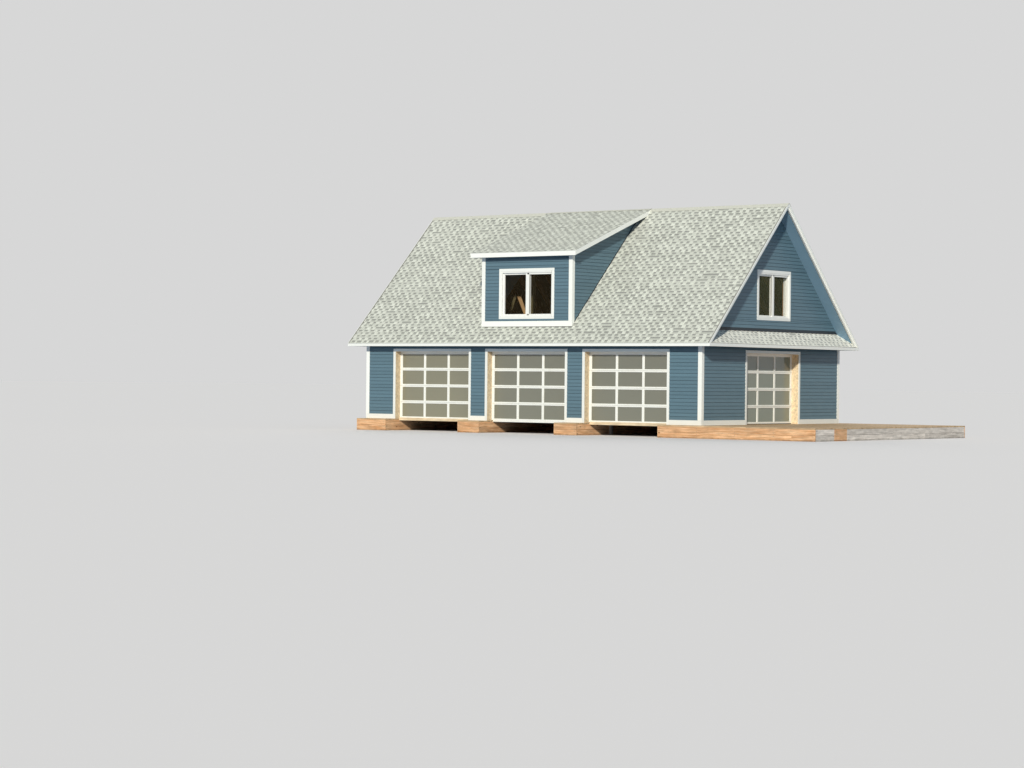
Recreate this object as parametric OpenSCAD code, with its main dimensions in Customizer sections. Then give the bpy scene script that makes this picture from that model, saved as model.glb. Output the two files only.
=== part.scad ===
// Boathouse over three slips, standing on timber cribs with a dock at its right side.
// Millimetres. Front faces -Y, z = 0 is the water line, and the origin is the middle
// of the footprint at that level. Shapes are laid out from the house's front left
// corner (x to the right, y to the back) and placed() then moves them to the origin.

/* [House] */
// Width of the front wall
house_w = 13110; // [12200:10:15000]
// Depth of the side walls
house_d = 8090; // [6600:10:9500]
// Thickness of the outer walls
wall_t = 235; // [160:5:300]
// Height of the wall plate above the water
plate_z = 2760; // [2700:10:2850]
// Height of the decks above the water
deck_z = 380; // [300:10:450]
// Thickness of the loft floor
loft_t = 190; // [120:10:240]

/* [Roof] */
// Slope of the main roof, in degrees
roof_pitch = 44.75; // [40:0.25:48]
// Slope of the pent roofs at the gables' feet, in degrees
pent_pitch = 38; // [34:1:45]
// Height of the main roof's surface at its eave edge
eave_z = 2850; // [2850:10:2950]
// Thickness of the roof deck, square to the slope
roof_t = 66; // [50:1:90]
// Thickness of the shingles where they lap over the fascias, plumb
shingle_t = 17; // [10:1:25]
// Overhang of the eaves beyond the front and back walls
eave_over = 375; // [250:5:450]
// Overhang of the gables beyond the side walls
gable_over = 525; // [400:5:650]
// Reach of the ridge cap down each slope, measured level
cap_reach = 115; // [80:5:160]
// Thickness of the ridge cap, plumb
cap_t = 18; // [10:1:30]

/* [Trim] */
// Thickness of fascias, rake boards, casings and corner boards
trim_t = 20; // [12:1:26]
// Height of the fascias
fascia_h = 94; // [70:2:94]
// Width of the gable rake boards, square to the slope
rake_h = 120; // [90:2:210]
// Thickness of the soffits
soffit_t = 12; // [8:1:20]
// Width of the corner boards on each face
corner_w = 115; // [80:5:160]
// Height of the base trim above the deck
base_h = 149; // [100:1:200]

/* [Doors] */
// Clear width of each door opening
door_w = 3048; // [2700:2:3100]
// Clear height of each door opening above the deck
door_h = 2190; // [2000:2:2240]
// Clear distance between neighbouring front openings
pier_w = 754; // [600:2:900]
// Thickness of the timber jambs that line the openings
jamb_t = 38; // [25:1:50]
// Width of the casings around the openings
casing_w = 90; // [60:1:110]
// Gap between the deck and the bottom of the door leaves
leaf_gap = 20; // [5:1:40]
// Lap of each door leaf behind the jambs
leaf_lap = 20; // [10:1:30]
// Thickness of a door leaf
leaf_t = 45; // [35:1:60]
// Width of a door leaf's outer stiles, beside the laps
stile_w = 86; // [60:1:140]
// Width of a door leaf's mullions
mullion_w = 76; // [50:1:120]
// Height of a door leaf's rails between two sections
rail_h = 84; // [50:1:110]
// Height of a door leaf's top rail, below the lap
top_rail_h = 80; // [50:1:110]
// Height of a door leaf's bottom rail
bottom_rail_h = 87; // [60:1:130]
// Drop of the middle door's bottom edge into its slip
drop_h = 65; // [40:1:90]
// Height of the timber sill across a slip
sill_h = 92; // [60:1:120]
// Rise of that sill above the deck
sill_rise = 36; // [15:1:50]

/* [Windows] */
// Width of the gable windows over their casings
gable_win_w = 2005; // [1500:5:2300]
// Height of the gable windows over their casings
gable_win_h = 1555; // [1200:5:1700]
// Height of the window casings' bottom edge above the water
win_z = 3600; // [3580:5:3700]
// Width of the dormer window over its casing
dormer_win_w = 2198; // [1600:2:2400]
// Height of the dormer window over its casing
dormer_win_h = 1588; // [1200:2:1650]
// Width of the window casings
win_casing_w = 90; // [60:1:110]
// Width of the window frames with their sashes
sash_w = 100; // [70:1:120]
// Depth of the window frames in the wall
win_depth = 120; // [90:1:150]
// Set back of the glass behind the wall face
glass_back = 70; // [50:1:75]
// Thickness of the window glass and of the door panes
glass_t = 6; // [4:1:10]

/* [Dormer] */
// Width of the dormer over its cheeks
dormer_w = 3520; // [3000:10:4200]
// Distance from the house's left wall face to the dormer's left cheek
dormer_x = 4690; // [4000:10:5200]
// Set back of the dormer's face behind the front wall face
dormer_back = 140; // [100:5:230]
// Height of the dormer roof's surface at its eave edge
dormer_eave_z = 5712; // [5650:2:5900]
// Overhang of the dormer roof at its front
dormer_over = 260; // [200:10:400]
// Overhang of the dormer roof at its sides
dormer_side_over = 300; // [150:10:350]
// Height of the dormer's fascia
dormer_fascia_h = 146; // [120:2:180]
// Height of the dormer's base trim
dormer_base_h = 176; // [120:2:210]
// Thickness of the dormer's walls
dormer_wall_t = 160; // [150:5:200]

/* [Cribs and decks] */
// Lap of a finger crib into each slip beside it
crib_lap = 51; // [20:1:80]
// Reach of the cribs in front of the front wall
front_out = 500; // [350:10:700]
// Reach of the cribs behind the back wall
back_out = 650; // [400:10:800]
// Reach of the back crib under the house
back_in = 900; // [500:10:1500]
// Width of the dock beside the right wall
dock_w = 4207; // [2000:1:5000]
// Thickness of the deck boards
deck_t = 38; // [25:1:50]
// Side of the square bumper post in the right slip
post_w = 90; // [70:5:140]
// Distance from the front wall face back to that post
post_y = 1250; // [900:10:2000]

/* [Hidden] */

door_count = 3;
pane_columns = 3;
section_count = 4;

// Colours of the finishes
new_timber = "#C98F5E";
old_timber = "#A79C90";
siding_blue = "#4C6577";
trim_white = "#F2F1EA";
shingle_grey = "#B9B7AC";
glass_grey = "#8A8C80";
dark_glass = "#2C3230";

// Roof lines: ridge_y is the ridge, slope_z(y) the front slope's surface
rise = tan(roof_pitch);
plumb_t = roof_t / cos(roof_pitch);
ridge_y = house_d / 2;
ridge_z = eave_z + (ridge_y + eave_over) * rise;
fascia_top = eave_z - shingle_t;
fascia_bottom = fascia_top - fascia_h;
rake_plumb = rake_h / cos(roof_pitch);
function slope_z(y) = eave_z + (y + eave_over) * rise;
function under_z(y) = slope_z(y) - plumb_t;

// Top of the front and back walls, bevelled to the roof deck's underside
wall_top = [[wall_t, under_z(wall_t)], [0, under_z(0)]];

// Pent roof surface at distance x from the side wall's face
pent_plumb_t = roof_t / cos(pent_pitch);
function pent_z(x) = eave_z + (gable_over - x) * tan(pent_pitch);

// Dormer lines: its roof climbs from its own eave to the main ridge
dormer_end = dormer_x + dormer_w;
dormer_eave_y = dormer_back - dormer_over;
dormer_rise = (ridge_z - dormer_eave_z) / (ridge_y - dormer_eave_y);
dormer_wall_z = under_z(wall_t);
dormer_base_z = slope_z(dormer_back);
dormer_fascia_top = dormer_eave_z - shingle_t;
dormer_fascia_bottom = dormer_fascia_top - dormer_fascia_h;
dormer_x_mid = dormer_x + dormer_w / 2;
function dormer_z(y) = dormer_eave_z + (y - dormer_eave_y) * dormer_rise;
function dormer_under_z(y) = dormer_z(y) - plumb_t;

// Door openings: door_x(i) is the left edge of the clear width of front opening i
door_margin = (house_w - door_count * door_w - (door_count - 1) * pier_w) / 2;
door_top = deck_z + door_h;
head_z = door_top + jamb_t;
side_door_y = (house_d - door_w) / 2;
function door_x(i) = door_margin + i * (door_w + pier_w);
middle_door = floor(door_count / 2);
sill_doors = [for (i = [0 : door_count - 1]) if (i != middle_door) i];

// Door leaves: equal sections, measured up from the leaf's bottom edge. The middle
// door's bottom edge hangs into its slip, so its bottom rail is shallower.
leaf_z = deck_z + leaf_gap;
leaf_h = door_h - leaf_gap + leaf_lap;
section_h = (door_h - leaf_gap - top_rail_h + rail_h / 2) / section_count;
dropped_rail_h = bottom_rail_h / 2;
pane_back = leaf_t / 2 - glass_t / 2;
pane_w = (door_w - 2 * stile_w - (pane_columns - 1) * mullion_w) / pane_columns;
function pane_x(column) = stile_w + column * (pane_w + mullion_w);
function pane_z0(section, low_rail) = section == 0 ? low_rail : section * section_h + rail_h / 2;
function pane_z1(section) = (section + 1) * section_h - rail_h / 2;

// Cribs: slip_x0(i) and slip_x1(i) are the sides of the water in slip i
crib_top = deck_z - deck_t;
crib_depth = front_out + house_d + back_out;
finger_depth = front_out + house_d - back_in;
function slip_x0(i) = door_x(i) + (i == 0 ? 0 : crib_lap);
function slip_x1(i) = door_x(i) + door_w - (i == door_count - 1 ? 0 : crib_lap);
dock_x = slip_x1(door_count - 1);
dock_end = house_w + dock_w;

// Footprint, for the origin
foot_mid_x = (dock_end - gable_over) / 2;
foot_mid_y = (house_d + back_out - front_out) / 2;

// A box from one corner to the opposite one
module block(low, high) {
    translate(low)
        cube(high - low);
}

// A profile of [y, z] points drawn out along x
module along_x(x0, x1, points) {
    translate([x0, 0, 0])
        rotate([90, 0, 90])
            linear_extrude(height = x1 - x0)
                polygon(points);
}

// A profile of [x, z] points drawn out along y
module along_y(y0, y1, points) {
    translate([0, y1, 0])
        rotate([90, 0, 0])
            linear_extrude(height = y1 - y0)
                polygon(points);
}

// From the house's front left corner to the part's origin
module placed() {
    translate([-foot_mid_x, -foot_mid_y, 0])
        children();
}

// The same shape once more, mirrored to the back of the house
module front_and_back() {
    children();
    translate([0, house_d, 0])
        mirror([0, 1, 0])
            children();
}

// The same shape once more, mirrored to the left of the house
module right_and_left() {
    children();
    translate([house_w, 0, 0])
        mirror([1, 0, 0])
            children();
}

// What is drawn on a front face, turned to the right wall, with x running to the back
module on_right_wall() {
    translate([house_w, 0, 0])
        rotate([0, 0, 90])
            children();
}

// Cribs: timber boxes filled with stone, from the water line up to the decks
module finger_cribs() {
    color(new_timber) placed() {
        block([0, -front_out, 0], [slip_x0(0), finger_depth - front_out, crib_top]);
        for (i = [1 : door_count - 1])
            block([slip_x1(i - 1), -front_out, 0], [slip_x0(i), finger_depth - front_out, crib_top]);
    }
}

module dock_crib() {
    color(new_timber) placed()
        block([dock_x, -front_out, 0], [dock_end, crib_depth - front_out, crib_top]);
}

module back_crib() {
    color(old_timber) placed()
        block([0, finger_depth - front_out, 0], [dock_x, crib_depth - front_out, crib_top]);
}

// Decks: boards over the cribs, which the walls stand on
module finger_decks() {
    color(new_timber) placed() {
        block([0, -front_out, crib_top], [slip_x0(0), finger_depth - front_out, deck_z]);
        for (i = [1 : door_count - 1])
            block([slip_x1(i - 1), -front_out, crib_top], [slip_x0(i), finger_depth - front_out, deck_z]);
        block([dock_x, -front_out, crib_top], [house_w + trim_t, crib_depth - front_out, deck_z]);
    }
}

module dock_deck() {
    color(new_timber) placed()
        block([house_w + trim_t, -front_out, crib_top], [dock_end, crib_depth - front_out, deck_z]);
}

module back_deck() {
    color(old_timber) placed()
        block([0, finger_depth - front_out, crib_top], [dock_x, crib_depth - front_out, deck_z]);
}

// Bumper post on the finger crib's face in the right slip
module slip_post() {
    post_x = slip_x0(door_count - 1);
    color(old_timber) placed()
        block([post_x, post_y, 0], [post_x + post_w, post_y + post_w, crib_top]);
}

// Front wall: piers beside the openings and a header over them
module front_piers() {
    color(siding_blue) placed()
        for (i = [0 : door_count]) {
            x0 = i == 0 ? 0 : door_x(i - 1) + door_w + jamb_t;
            x1 = i == door_count ? house_w : door_x(i) - jamb_t;
            block([x0, 0, deck_z], [x1, wall_t, head_z]);
        }
}

module front_header() {
    color(siding_blue) placed()
        along_x(0, house_w, concat([[0, head_z], [wall_t, head_z]], wall_top));
}

module back_wall() {
    color(siding_blue) placed()
        translate([0, house_d, 0])
            mirror([0, 1, 0])
                along_x(0, house_w, concat([[0, deck_z], [wall_t, deck_z]], wall_top));
}

// Right wall: piers beside the side door and a header over it
module right_wall_piers() {
    color(siding_blue) placed() {
        block([house_w - wall_t, wall_t, deck_z], [house_w, side_door_y - jamb_t, head_z]);
        block([house_w - wall_t, side_door_y + door_w + jamb_t, deck_z],
              [house_w, house_d - wall_t, head_z]);
    }
}

module right_header() {
    color(siding_blue) placed()
        block([house_w - wall_t, wall_t, head_z], [house_w, house_d - wall_t, plate_z]);
}

module left_wall() {
    color(siding_blue) placed()
        block([0, wall_t, deck_z], [wall_t, house_d - wall_t, plate_z]);
}

// Gable walls: from the plate up to the roof deck's underside, with a window opening
module gable_wall_shape() {
    rough_w = gable_win_w - 2 * win_casing_w;
    rough_h = gable_win_h - 2 * win_casing_w;
    difference() {
        along_x(house_w - wall_t, house_w, [
            [wall_t, plate_z],
            [house_d - wall_t, plate_z],
            [house_d - wall_t, under_z(wall_t)],
            [ridge_y, under_z(ridge_y)],
            [wall_t, under_z(wall_t)]
        ]);
        translate([house_w - 2 * wall_t, ridge_y - rough_w / 2, win_z + win_casing_w])
            cube([3 * wall_t, rough_w, rough_h]);
    }
}

module right_gable_wall() {
    color(siding_blue) placed()
        gable_wall_shape();
}

module left_gable_wall() {
    color(siding_blue) placed()
        translate([house_w, 0, 0])
            mirror([1, 0, 0])
                gable_wall_shape();
}

module loft_floor() {
    color(new_timber) placed()
        block([wall_t, wall_t, plate_z], [house_w - wall_t, house_d - wall_t, plate_z + loft_t]);
}

// Main roof: deck behind the fascias, sunk into the shingles that lap over them
module front_slope(x0, x1, y_end, left_edge, right_edge) {
    deck_y = -eave_over + trim_t;
    core_x0 = x0 + (left_edge ? trim_t : 0);
    core_x1 = x1 - (right_edge ? trim_t : 0);
    along_x(x0, x1, [
        [-eave_over, eave_z - shingle_t],
        [y_end, slope_z(y_end) - shingle_t],
        [y_end, slope_z(y_end)],
        [-eave_over, eave_z]
    ]);
    along_x(core_x0, core_x1, [
        [deck_y, under_z(deck_y)],
        [y_end, under_z(y_end)],
        [y_end, slope_z(y_end) - shingle_t / 2],
        [deck_y, slope_z(deck_y) - shingle_t / 2]
    ]);
}

module roof_front_left() {
    color(shingle_grey) placed()
        front_slope(-gable_over, dormer_x, ridge_y, true, false);
}

module roof_front_right() {
    color(shingle_grey) placed()
        front_slope(dormer_end, house_w + gable_over, ridge_y, false, true);
}

module roof_front_below() {
    color(shingle_grey) placed()
        front_slope(dormer_x, dormer_end, dormer_back, false, false);
}

module roof_back() {
    color(shingle_grey) placed()
        translate([0, house_d, 0])
            mirror([0, 1, 0])
                front_slope(-gable_over, house_w + gable_over, ridge_y, true, true);
}

// Ridge cap: a bent strip, flatter in front where the dormer meets the ridge
module cap_strip(x0, x1, front_slope) {
    front_z = ridge_z - cap_reach * front_slope;
    back_z = ridge_z - cap_reach * rise;
    along_x(x0, x1, [
        [ridge_y - cap_reach, front_z],
        [ridge_y, ridge_z],
        [ridge_y + cap_reach, back_z],
        [ridge_y + cap_reach, back_z + cap_t],
        [ridge_y, ridge_z + cap_t],
        [ridge_y - cap_reach, front_z + cap_t]
    ]);
}

module ridge_cap() {
    color(shingle_grey) placed() {
        cap_strip(-gable_over, dormer_x - dormer_side_over, rise);
        cap_strip(dormer_x - dormer_side_over, dormer_end + dormer_side_over, dormer_rise);
        cap_strip(dormer_end + dormer_side_over, house_w + gable_over, rise);
    }
}

// Rake boards: a pair under the shingles' edge at each gable, standing on the pent fascia
module rake_pair(x0, x1) {
    foot_y = -eave_over;
    inner_y = foot_y + (rake_plumb - shingle_t) / rise;
    along_x(x0, x1, [
        [foot_y, fascia_top],
        [inner_y, fascia_top],
        [ridge_y, ridge_z - rake_plumb],
        [house_d - inner_y, fascia_top],
        [house_d - foot_y, fascia_top],
        [ridge_y, ridge_z - shingle_t]
    ]);
}

module rake_boards() {
    color(trim_white) placed()
        right_and_left()
            rake_pair(house_w + gable_over - trim_t, house_w + gable_over);
}

// Pent roofs: sloping skirts at the gables' feet, cut to the main roof's underside
module pent_shape() {
    deck_x = gable_over - trim_t;
    inner_y = -eave_over + trim_t;
    difference() {
        intersection() {
            translate([house_w, 0, 0])
                union() {
                    along_y(-eave_over, house_d + eave_over, [
                        [0, pent_z(0) - shingle_t],
                        [gable_over, pent_z(gable_over) - shingle_t],
                        [gable_over, pent_z(gable_over)],
                        [0, pent_z(0)]
                    ]);
                    along_y(-eave_over, house_d + eave_over, [
                        [0, pent_z(0) - pent_plumb_t],
                        [deck_x, pent_z(deck_x) - pent_plumb_t],
                        [deck_x, pent_z(deck_x) - shingle_t],
                        [0, pent_z(0) - shingle_t]
                    ]);
                }
            along_x(house_w, house_w + gable_over, [
                [inner_y, 0],
                [house_d - inner_y, 0],
                [house_d - inner_y, under_z(inner_y)],
                [ridge_y, under_z(ridge_y)],
                [inner_y, under_z(inner_y)]
            ]);
        }
        rake_pair(house_w + gable_over - trim_t, house_w + gable_over);
    }
}

module pent_roofs() {
    color(shingle_grey) placed()
        right_and_left()
            pent_shape();
}

// Fascias along the eaves and along the pent roofs
module eave_fascias() {
    color(trim_white) placed()
        front_and_back()
            block([-gable_over + trim_t, -eave_over, fascia_bottom],
                  [house_w + gable_over - trim_t, -eave_over + trim_t, fascia_top]);
}

module pent_fascias() {
    color(trim_white) placed()
        right_and_left()
            block([house_w + gable_over - trim_t, -eave_over, fascia_bottom],
                  [house_w + gable_over, house_d + eave_over, fascia_top]);
}

// Soffits close the eaves and the pent roofs from below
module eave_soffits() {
    color(siding_blue) placed()
        front_and_back()
            block([-gable_over + trim_t, -eave_over + trim_t, fascia_bottom],
                  [house_w + gable_over - trim_t, 0, fascia_bottom + soffit_t]);
}

module pent_soffits() {
    color(siding_blue) placed()
        right_and_left()
            block([house_w, 0, fascia_bottom],
                  [house_w + gable_over - trim_t, house_d, fascia_bottom + soffit_t]);
}

// Dormer: front wall with its window opening, standing inside the main front wall's top
module dormer_front_wall() {
    back_y = dormer_back + dormer_wall_t;
    rough_w = dormer_win_w - 2 * win_casing_w;
    rough_h = dormer_win_h - 2 * win_casing_w;
    color(siding_blue) placed()
        difference() {
            along_x(dormer_x, dormer_end, [
                [dormer_back, dormer_wall_z],
                [back_y, dormer_wall_z],
                [back_y, dormer_under_z(back_y)],
                [dormer_back, dormer_under_z(dormer_back)]
            ]);
            translate([dormer_x_mid - rough_w / 2, dormer_back - wall_t, win_z + win_casing_w])
                cube([rough_w, 3 * wall_t, rough_h]);
        }
}

// Cheeks: triangular side walls between the two roofs
module dormer_cheeks() {
    front_y = dormer_back + dormer_wall_t;
    profile = [
        [front_y, under_z(front_y)],
        [ridge_y, under_z(ridge_y)],
        [front_y, dormer_under_z(front_y)]
    ];
    color(siding_blue) placed() {
        along_x(dormer_x, dormer_x + dormer_wall_t, profile);
        along_x(dormer_end - dormer_wall_t, dormer_end, profile);
    }
}

// Dormer roof: a shed roof up to the main ridge, seated on the main slope beside it
module dormer_roof() {
    x0 = dormer_x - dormer_side_over;
    x1 = dormer_end + dormer_side_over;
    deck_y = dormer_eave_y + trim_t;
    slope_body = [[dormer_eave_y, 0], [ridge_y, 0], [ridge_y, ridge_z],
                  [dormer_eave_y, slope_z(dormer_eave_y)]];
    color(shingle_grey) placed()
        difference() {
            union() {
                along_x(x0, x1, [
                    [dormer_eave_y, dormer_eave_z - shingle_t],
                    [ridge_y, ridge_z - shingle_t],
                    [ridge_y, ridge_z],
                    [dormer_eave_y, dormer_eave_z]
                ]);
                along_x(x0 + trim_t, x1 - trim_t, [
                    [deck_y, dormer_under_z(deck_y)],
                    [ridge_y, dormer_under_z(ridge_y)],
                    [ridge_y, ridge_z - shingle_t / 2],
                    [deck_y, dormer_z(deck_y) - shingle_t / 2]
                ]);
            }
            along_x(x0 - trim_t, dormer_x, slope_body);
            along_x(dormer_end, x1 + trim_t, slope_body);
        }
}

// Fascia across the dormer's front, with a rake board back along each side
module dormer_fascia() {
    x0 = dormer_x - dormer_side_over;
    x1 = dormer_end + dormer_side_over;
    foot = [
        [dormer_eave_y, dormer_fascia_bottom],
        [ridge_y, ridge_z - shingle_t - dormer_fascia_h],
        [ridge_y, ridge_z - shingle_t],
        [dormer_eave_y, dormer_fascia_top]
    ];
    slope_body = [[dormer_eave_y - trim_t, 0], [ridge_y, 0], [ridge_y, ridge_z],
                  [dormer_eave_y - trim_t, slope_z(dormer_eave_y - trim_t)]];
    color(trim_white) placed()
        difference() {
            union() {
                block([x0, dormer_eave_y, dormer_fascia_bottom],
                      [x1, dormer_eave_y + trim_t, dormer_fascia_top]);
                along_x(x0, x0 + trim_t, foot);
                along_x(x1 - trim_t, x1, foot);
            }
            along_x(x0 - trim_t, x1 + trim_t, slope_body);
        }
}

module dormer_soffit() {
    color(siding_blue) placed()
        block([dormer_x - dormer_side_over + trim_t, dormer_eave_y + trim_t, dormer_fascia_bottom],
              [dormer_end + dormer_side_over - trim_t, dormer_back, dormer_fascia_bottom + soffit_t]);
}

// Base board and corner boards of the dormer, in one piece
module dormer_trim() {
    front_y = dormer_back - trim_t;
    base_top = dormer_base_z + dormer_base_h;
    color(trim_white) placed() {
        block([dormer_x - trim_t, front_y, dormer_base_z],
              [dormer_end + trim_t, dormer_back, base_top]);
        for (side = [0, 1]) {
            outer_x = side == 0 ? dormer_x - trim_t : dormer_end;
            face_x = side == 0 ? dormer_x : dormer_end - corner_w;
            block([face_x, front_y, base_top], [face_x + corner_w, dormer_back, dormer_fascia_bottom]);
            block([outer_x, front_y, base_top], [outer_x + trim_t, dormer_back, dormer_fascia_bottom]);
            along_x(outer_x, outer_x + trim_t, [
                [dormer_back, dormer_base_z],
                [dormer_back + corner_w, slope_z(dormer_back + corner_w)],
                [dormer_back + corner_w, dormer_fascia_bottom],
                [dormer_back, dormer_fascia_bottom]
            ]);
        }
    }
}

// Door leaf behind its opening: stiles, mullions and section rails
module door_leaf(low_rail) {
    translate([0, wall_t, leaf_z])
        difference() {
            translate([-leaf_lap, 0, 0])
                cube([door_w + 2 * leaf_lap, leaf_t, leaf_h]);
            for (column = [0 : pane_columns - 1], section = [0 : section_count - 1])
                translate([pane_x(column), -leaf_t, pane_z0(section, low_rail)])
                    cube([pane_w, 3 * leaf_t, pane_z1(section) - pane_z0(section, low_rail)]);
        }
}

module leaf_panes(low_rail) {
    translate([0, wall_t + pane_back, leaf_z])
        for (column = [0 : pane_columns - 1], section = [0 : section_count - 1])
            translate([pane_x(column), 0, pane_z0(section, low_rail)])
                cube([pane_w, glass_t, pane_z1(section) - pane_z0(section, low_rail)]);
}

module front_doors() {
    color(trim_white) placed()
        for (i = [0 : door_count - 1]) {
            dropped = i == middle_door;
            translate([door_x(i), 0, 0])
                door_leaf(dropped ? dropped_rail_h : bottom_rail_h);
            if (dropped)
                block([slip_x0(i), wall_t, leaf_z - drop_h], [slip_x1(i), wall_t + leaf_t, leaf_z]);
        }
}

module side_door() {
    color(trim_white) placed()
        on_right_wall()
            translate([side_door_y, 0, 0])
                door_leaf(bottom_rail_h);
}

module door_panes() {
    color(glass_grey) placed() {
        for (i = [0 : door_count - 1])
            translate([door_x(i), 0, 0])
                leaf_panes(i == middle_door ? dropped_rail_h : bottom_rail_h);
        on_right_wall()
            translate([side_door_y, 0, 0])
                leaf_panes(bottom_rail_h);
    }
}

// Timber jambs line an opening, and white casings frame it on the wall face
module jamb_frame() {
    block([-jamb_t, 0, deck_z], [0, wall_t, head_z]);
    block([door_w, 0, deck_z], [door_w + jamb_t, wall_t, head_z]);
    block([-jamb_t, 0, door_top], [door_w + jamb_t, wall_t, head_z]);
}

module casing_frame() {
    top_z = door_top + casing_w;
    block([-casing_w, -trim_t, deck_z], [0, 0, top_z]);
    block([door_w, -trim_t, deck_z], [door_w + casing_w, 0, top_z]);
    block([-casing_w, -trim_t, door_top], [door_w + casing_w, 0, top_z]);
}

module at_each_door() {
    for (i = [0 : door_count - 1])
        translate([door_x(i), 0, 0])
            children();
    on_right_wall()
        translate([side_door_y, 0, 0])
            children();
}

module door_jambs() {
    color(new_timber) placed()
        at_each_door()
            jamb_frame();
}

module door_casings() {
    color(trim_white) placed()
        at_each_door()
            casing_frame();
}

// Timber sills across the outer slips, fixed between the cribs
module door_sills() {
    color(new_timber) placed()
        for (i = sill_doors)
            block([slip_x0(i), wall_t - jamb_t, deck_z + sill_rise - sill_h],
                  [slip_x1(i), wall_t, deck_z + sill_rise]);
}

// Two-pane sliding window in a front face, centred on x = 0: casing, frame, meeting stile
module window_unit(w, h) {
    rough_w = w - 2 * win_casing_w;
    rough_h = h - 2 * win_casing_w;
    clear_w = rough_w - 2 * sash_w;
    clear_h = rough_h - 2 * sash_w;
    rough_z = win_z + win_casing_w;
    difference() {
        block([-w / 2, -trim_t, win_z], [w / 2, 0, win_z + h]);
        block([-rough_w / 2, -2 * trim_t, rough_z], [rough_w / 2, trim_t, rough_z + rough_h]);
    }
    difference() {
        block([-rough_w / 2, -trim_t, rough_z], [rough_w / 2, win_depth, rough_z + rough_h]);
        block([-clear_w / 2, -2 * trim_t, rough_z + sash_w],
              [clear_w / 2, 2 * win_depth, rough_z + rough_h - sash_w]);
    }
    block([-sash_w / 2, glass_back - sash_w / 2, rough_z + sash_w],
          [sash_w / 2, glass_back + sash_w / 2, rough_z + rough_h - sash_w]);
}

module window_panes(w, h) {
    pane_edge = w / 2 - win_casing_w - sash_w;
    for (side = [-1, 1])
        translate([side < 0 ? -pane_edge : sash_w / 2, glass_back, win_z + win_casing_w + sash_w])
            cube([pane_edge - sash_w / 2, glass_t, h - 2 * win_casing_w - 2 * sash_w]);
}

module gable_windows() {
    color(trim_white) placed()
        right_and_left()
            on_right_wall()
                translate([ridge_y, 0, 0])
                    window_unit(gable_win_w, gable_win_h);
}

module gable_window_glass() {
    color(dark_glass) placed()
        right_and_left()
            on_right_wall()
                translate([ridge_y, 0, 0])
                    window_panes(gable_win_w, gable_win_h);
}

module dormer_window() {
    color(trim_white) placed()
        translate([dormer_x_mid, dormer_back, 0])
            window_unit(dormer_win_w, dormer_win_h);
}

module dormer_window_glass() {
    color(dark_glass) placed()
        translate([dormer_x_mid, dormer_back, 0])
            window_panes(dormer_win_w, dormer_win_h);
}

// Corner boards wrap the four corners from the base trim up to the soffits
module corner_boards() {
    low_z = deck_z + base_h;
    color(trim_white) placed()
        right_and_left()
            front_and_back() {
                block([house_w - corner_w, -trim_t, low_z], [house_w + trim_t, 0, fascia_bottom]);
                block([house_w, 0, low_z], [house_w + trim_t, corner_w, fascia_bottom]);
            }
}

// Base trim along the foot of every wall, between the door casings
module base_trim() {
    high_z = deck_z + base_h;
    color(trim_white) placed() {
        for (i = [1 : door_count - 1])
            block([door_x(i - 1) + door_w + casing_w, -trim_t, deck_z],
                  [door_x(i) - casing_w, 0, high_z]);
        block([-trim_t, -trim_t, deck_z], [door_x(0) - casing_w, 0, high_z]);
        block([door_x(door_count - 1) + door_w + casing_w, -trim_t, deck_z],
              [house_w + trim_t, 0, high_z]);
        block([house_w, 0, deck_z], [house_w + trim_t, side_door_y - casing_w, high_z]);
        block([house_w, side_door_y + door_w + casing_w, deck_z],
              [house_w + trim_t, house_d + trim_t, high_z]);
        block([-trim_t, house_d, deck_z], [house_w, house_d + trim_t, high_z]);
        block([-trim_t, 0, deck_z], [0, house_d, high_z]);
    }
}

finger_cribs();
dock_crib();
back_crib();
finger_decks();
dock_deck();
back_deck();
slip_post();
front_piers();
front_header();
right_wall_piers();
right_header();
left_wall();
back_wall();
right_gable_wall();
left_gable_wall();
loft_floor();
roof_front_left();
roof_front_right();
roof_front_below();
roof_back();
ridge_cap();
pent_roofs();
dormer_front_wall();
dormer_cheeks();
dormer_roof();
dormer_trim();
dormer_fascia();
dormer_soffit();
front_doors();
side_door();
door_panes();
door_jambs();
door_casings();
door_sills();
gable_windows();
gable_window_glass();
dormer_window();
dormer_window_glass();
corner_boards();
base_trim();
eave_fascias();
pent_fascias();
rake_boards();
eave_soffits();
pent_soffits();
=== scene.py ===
import math
import random

import bmesh
import bpy
from mathutils import Matrix, Vector


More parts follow.
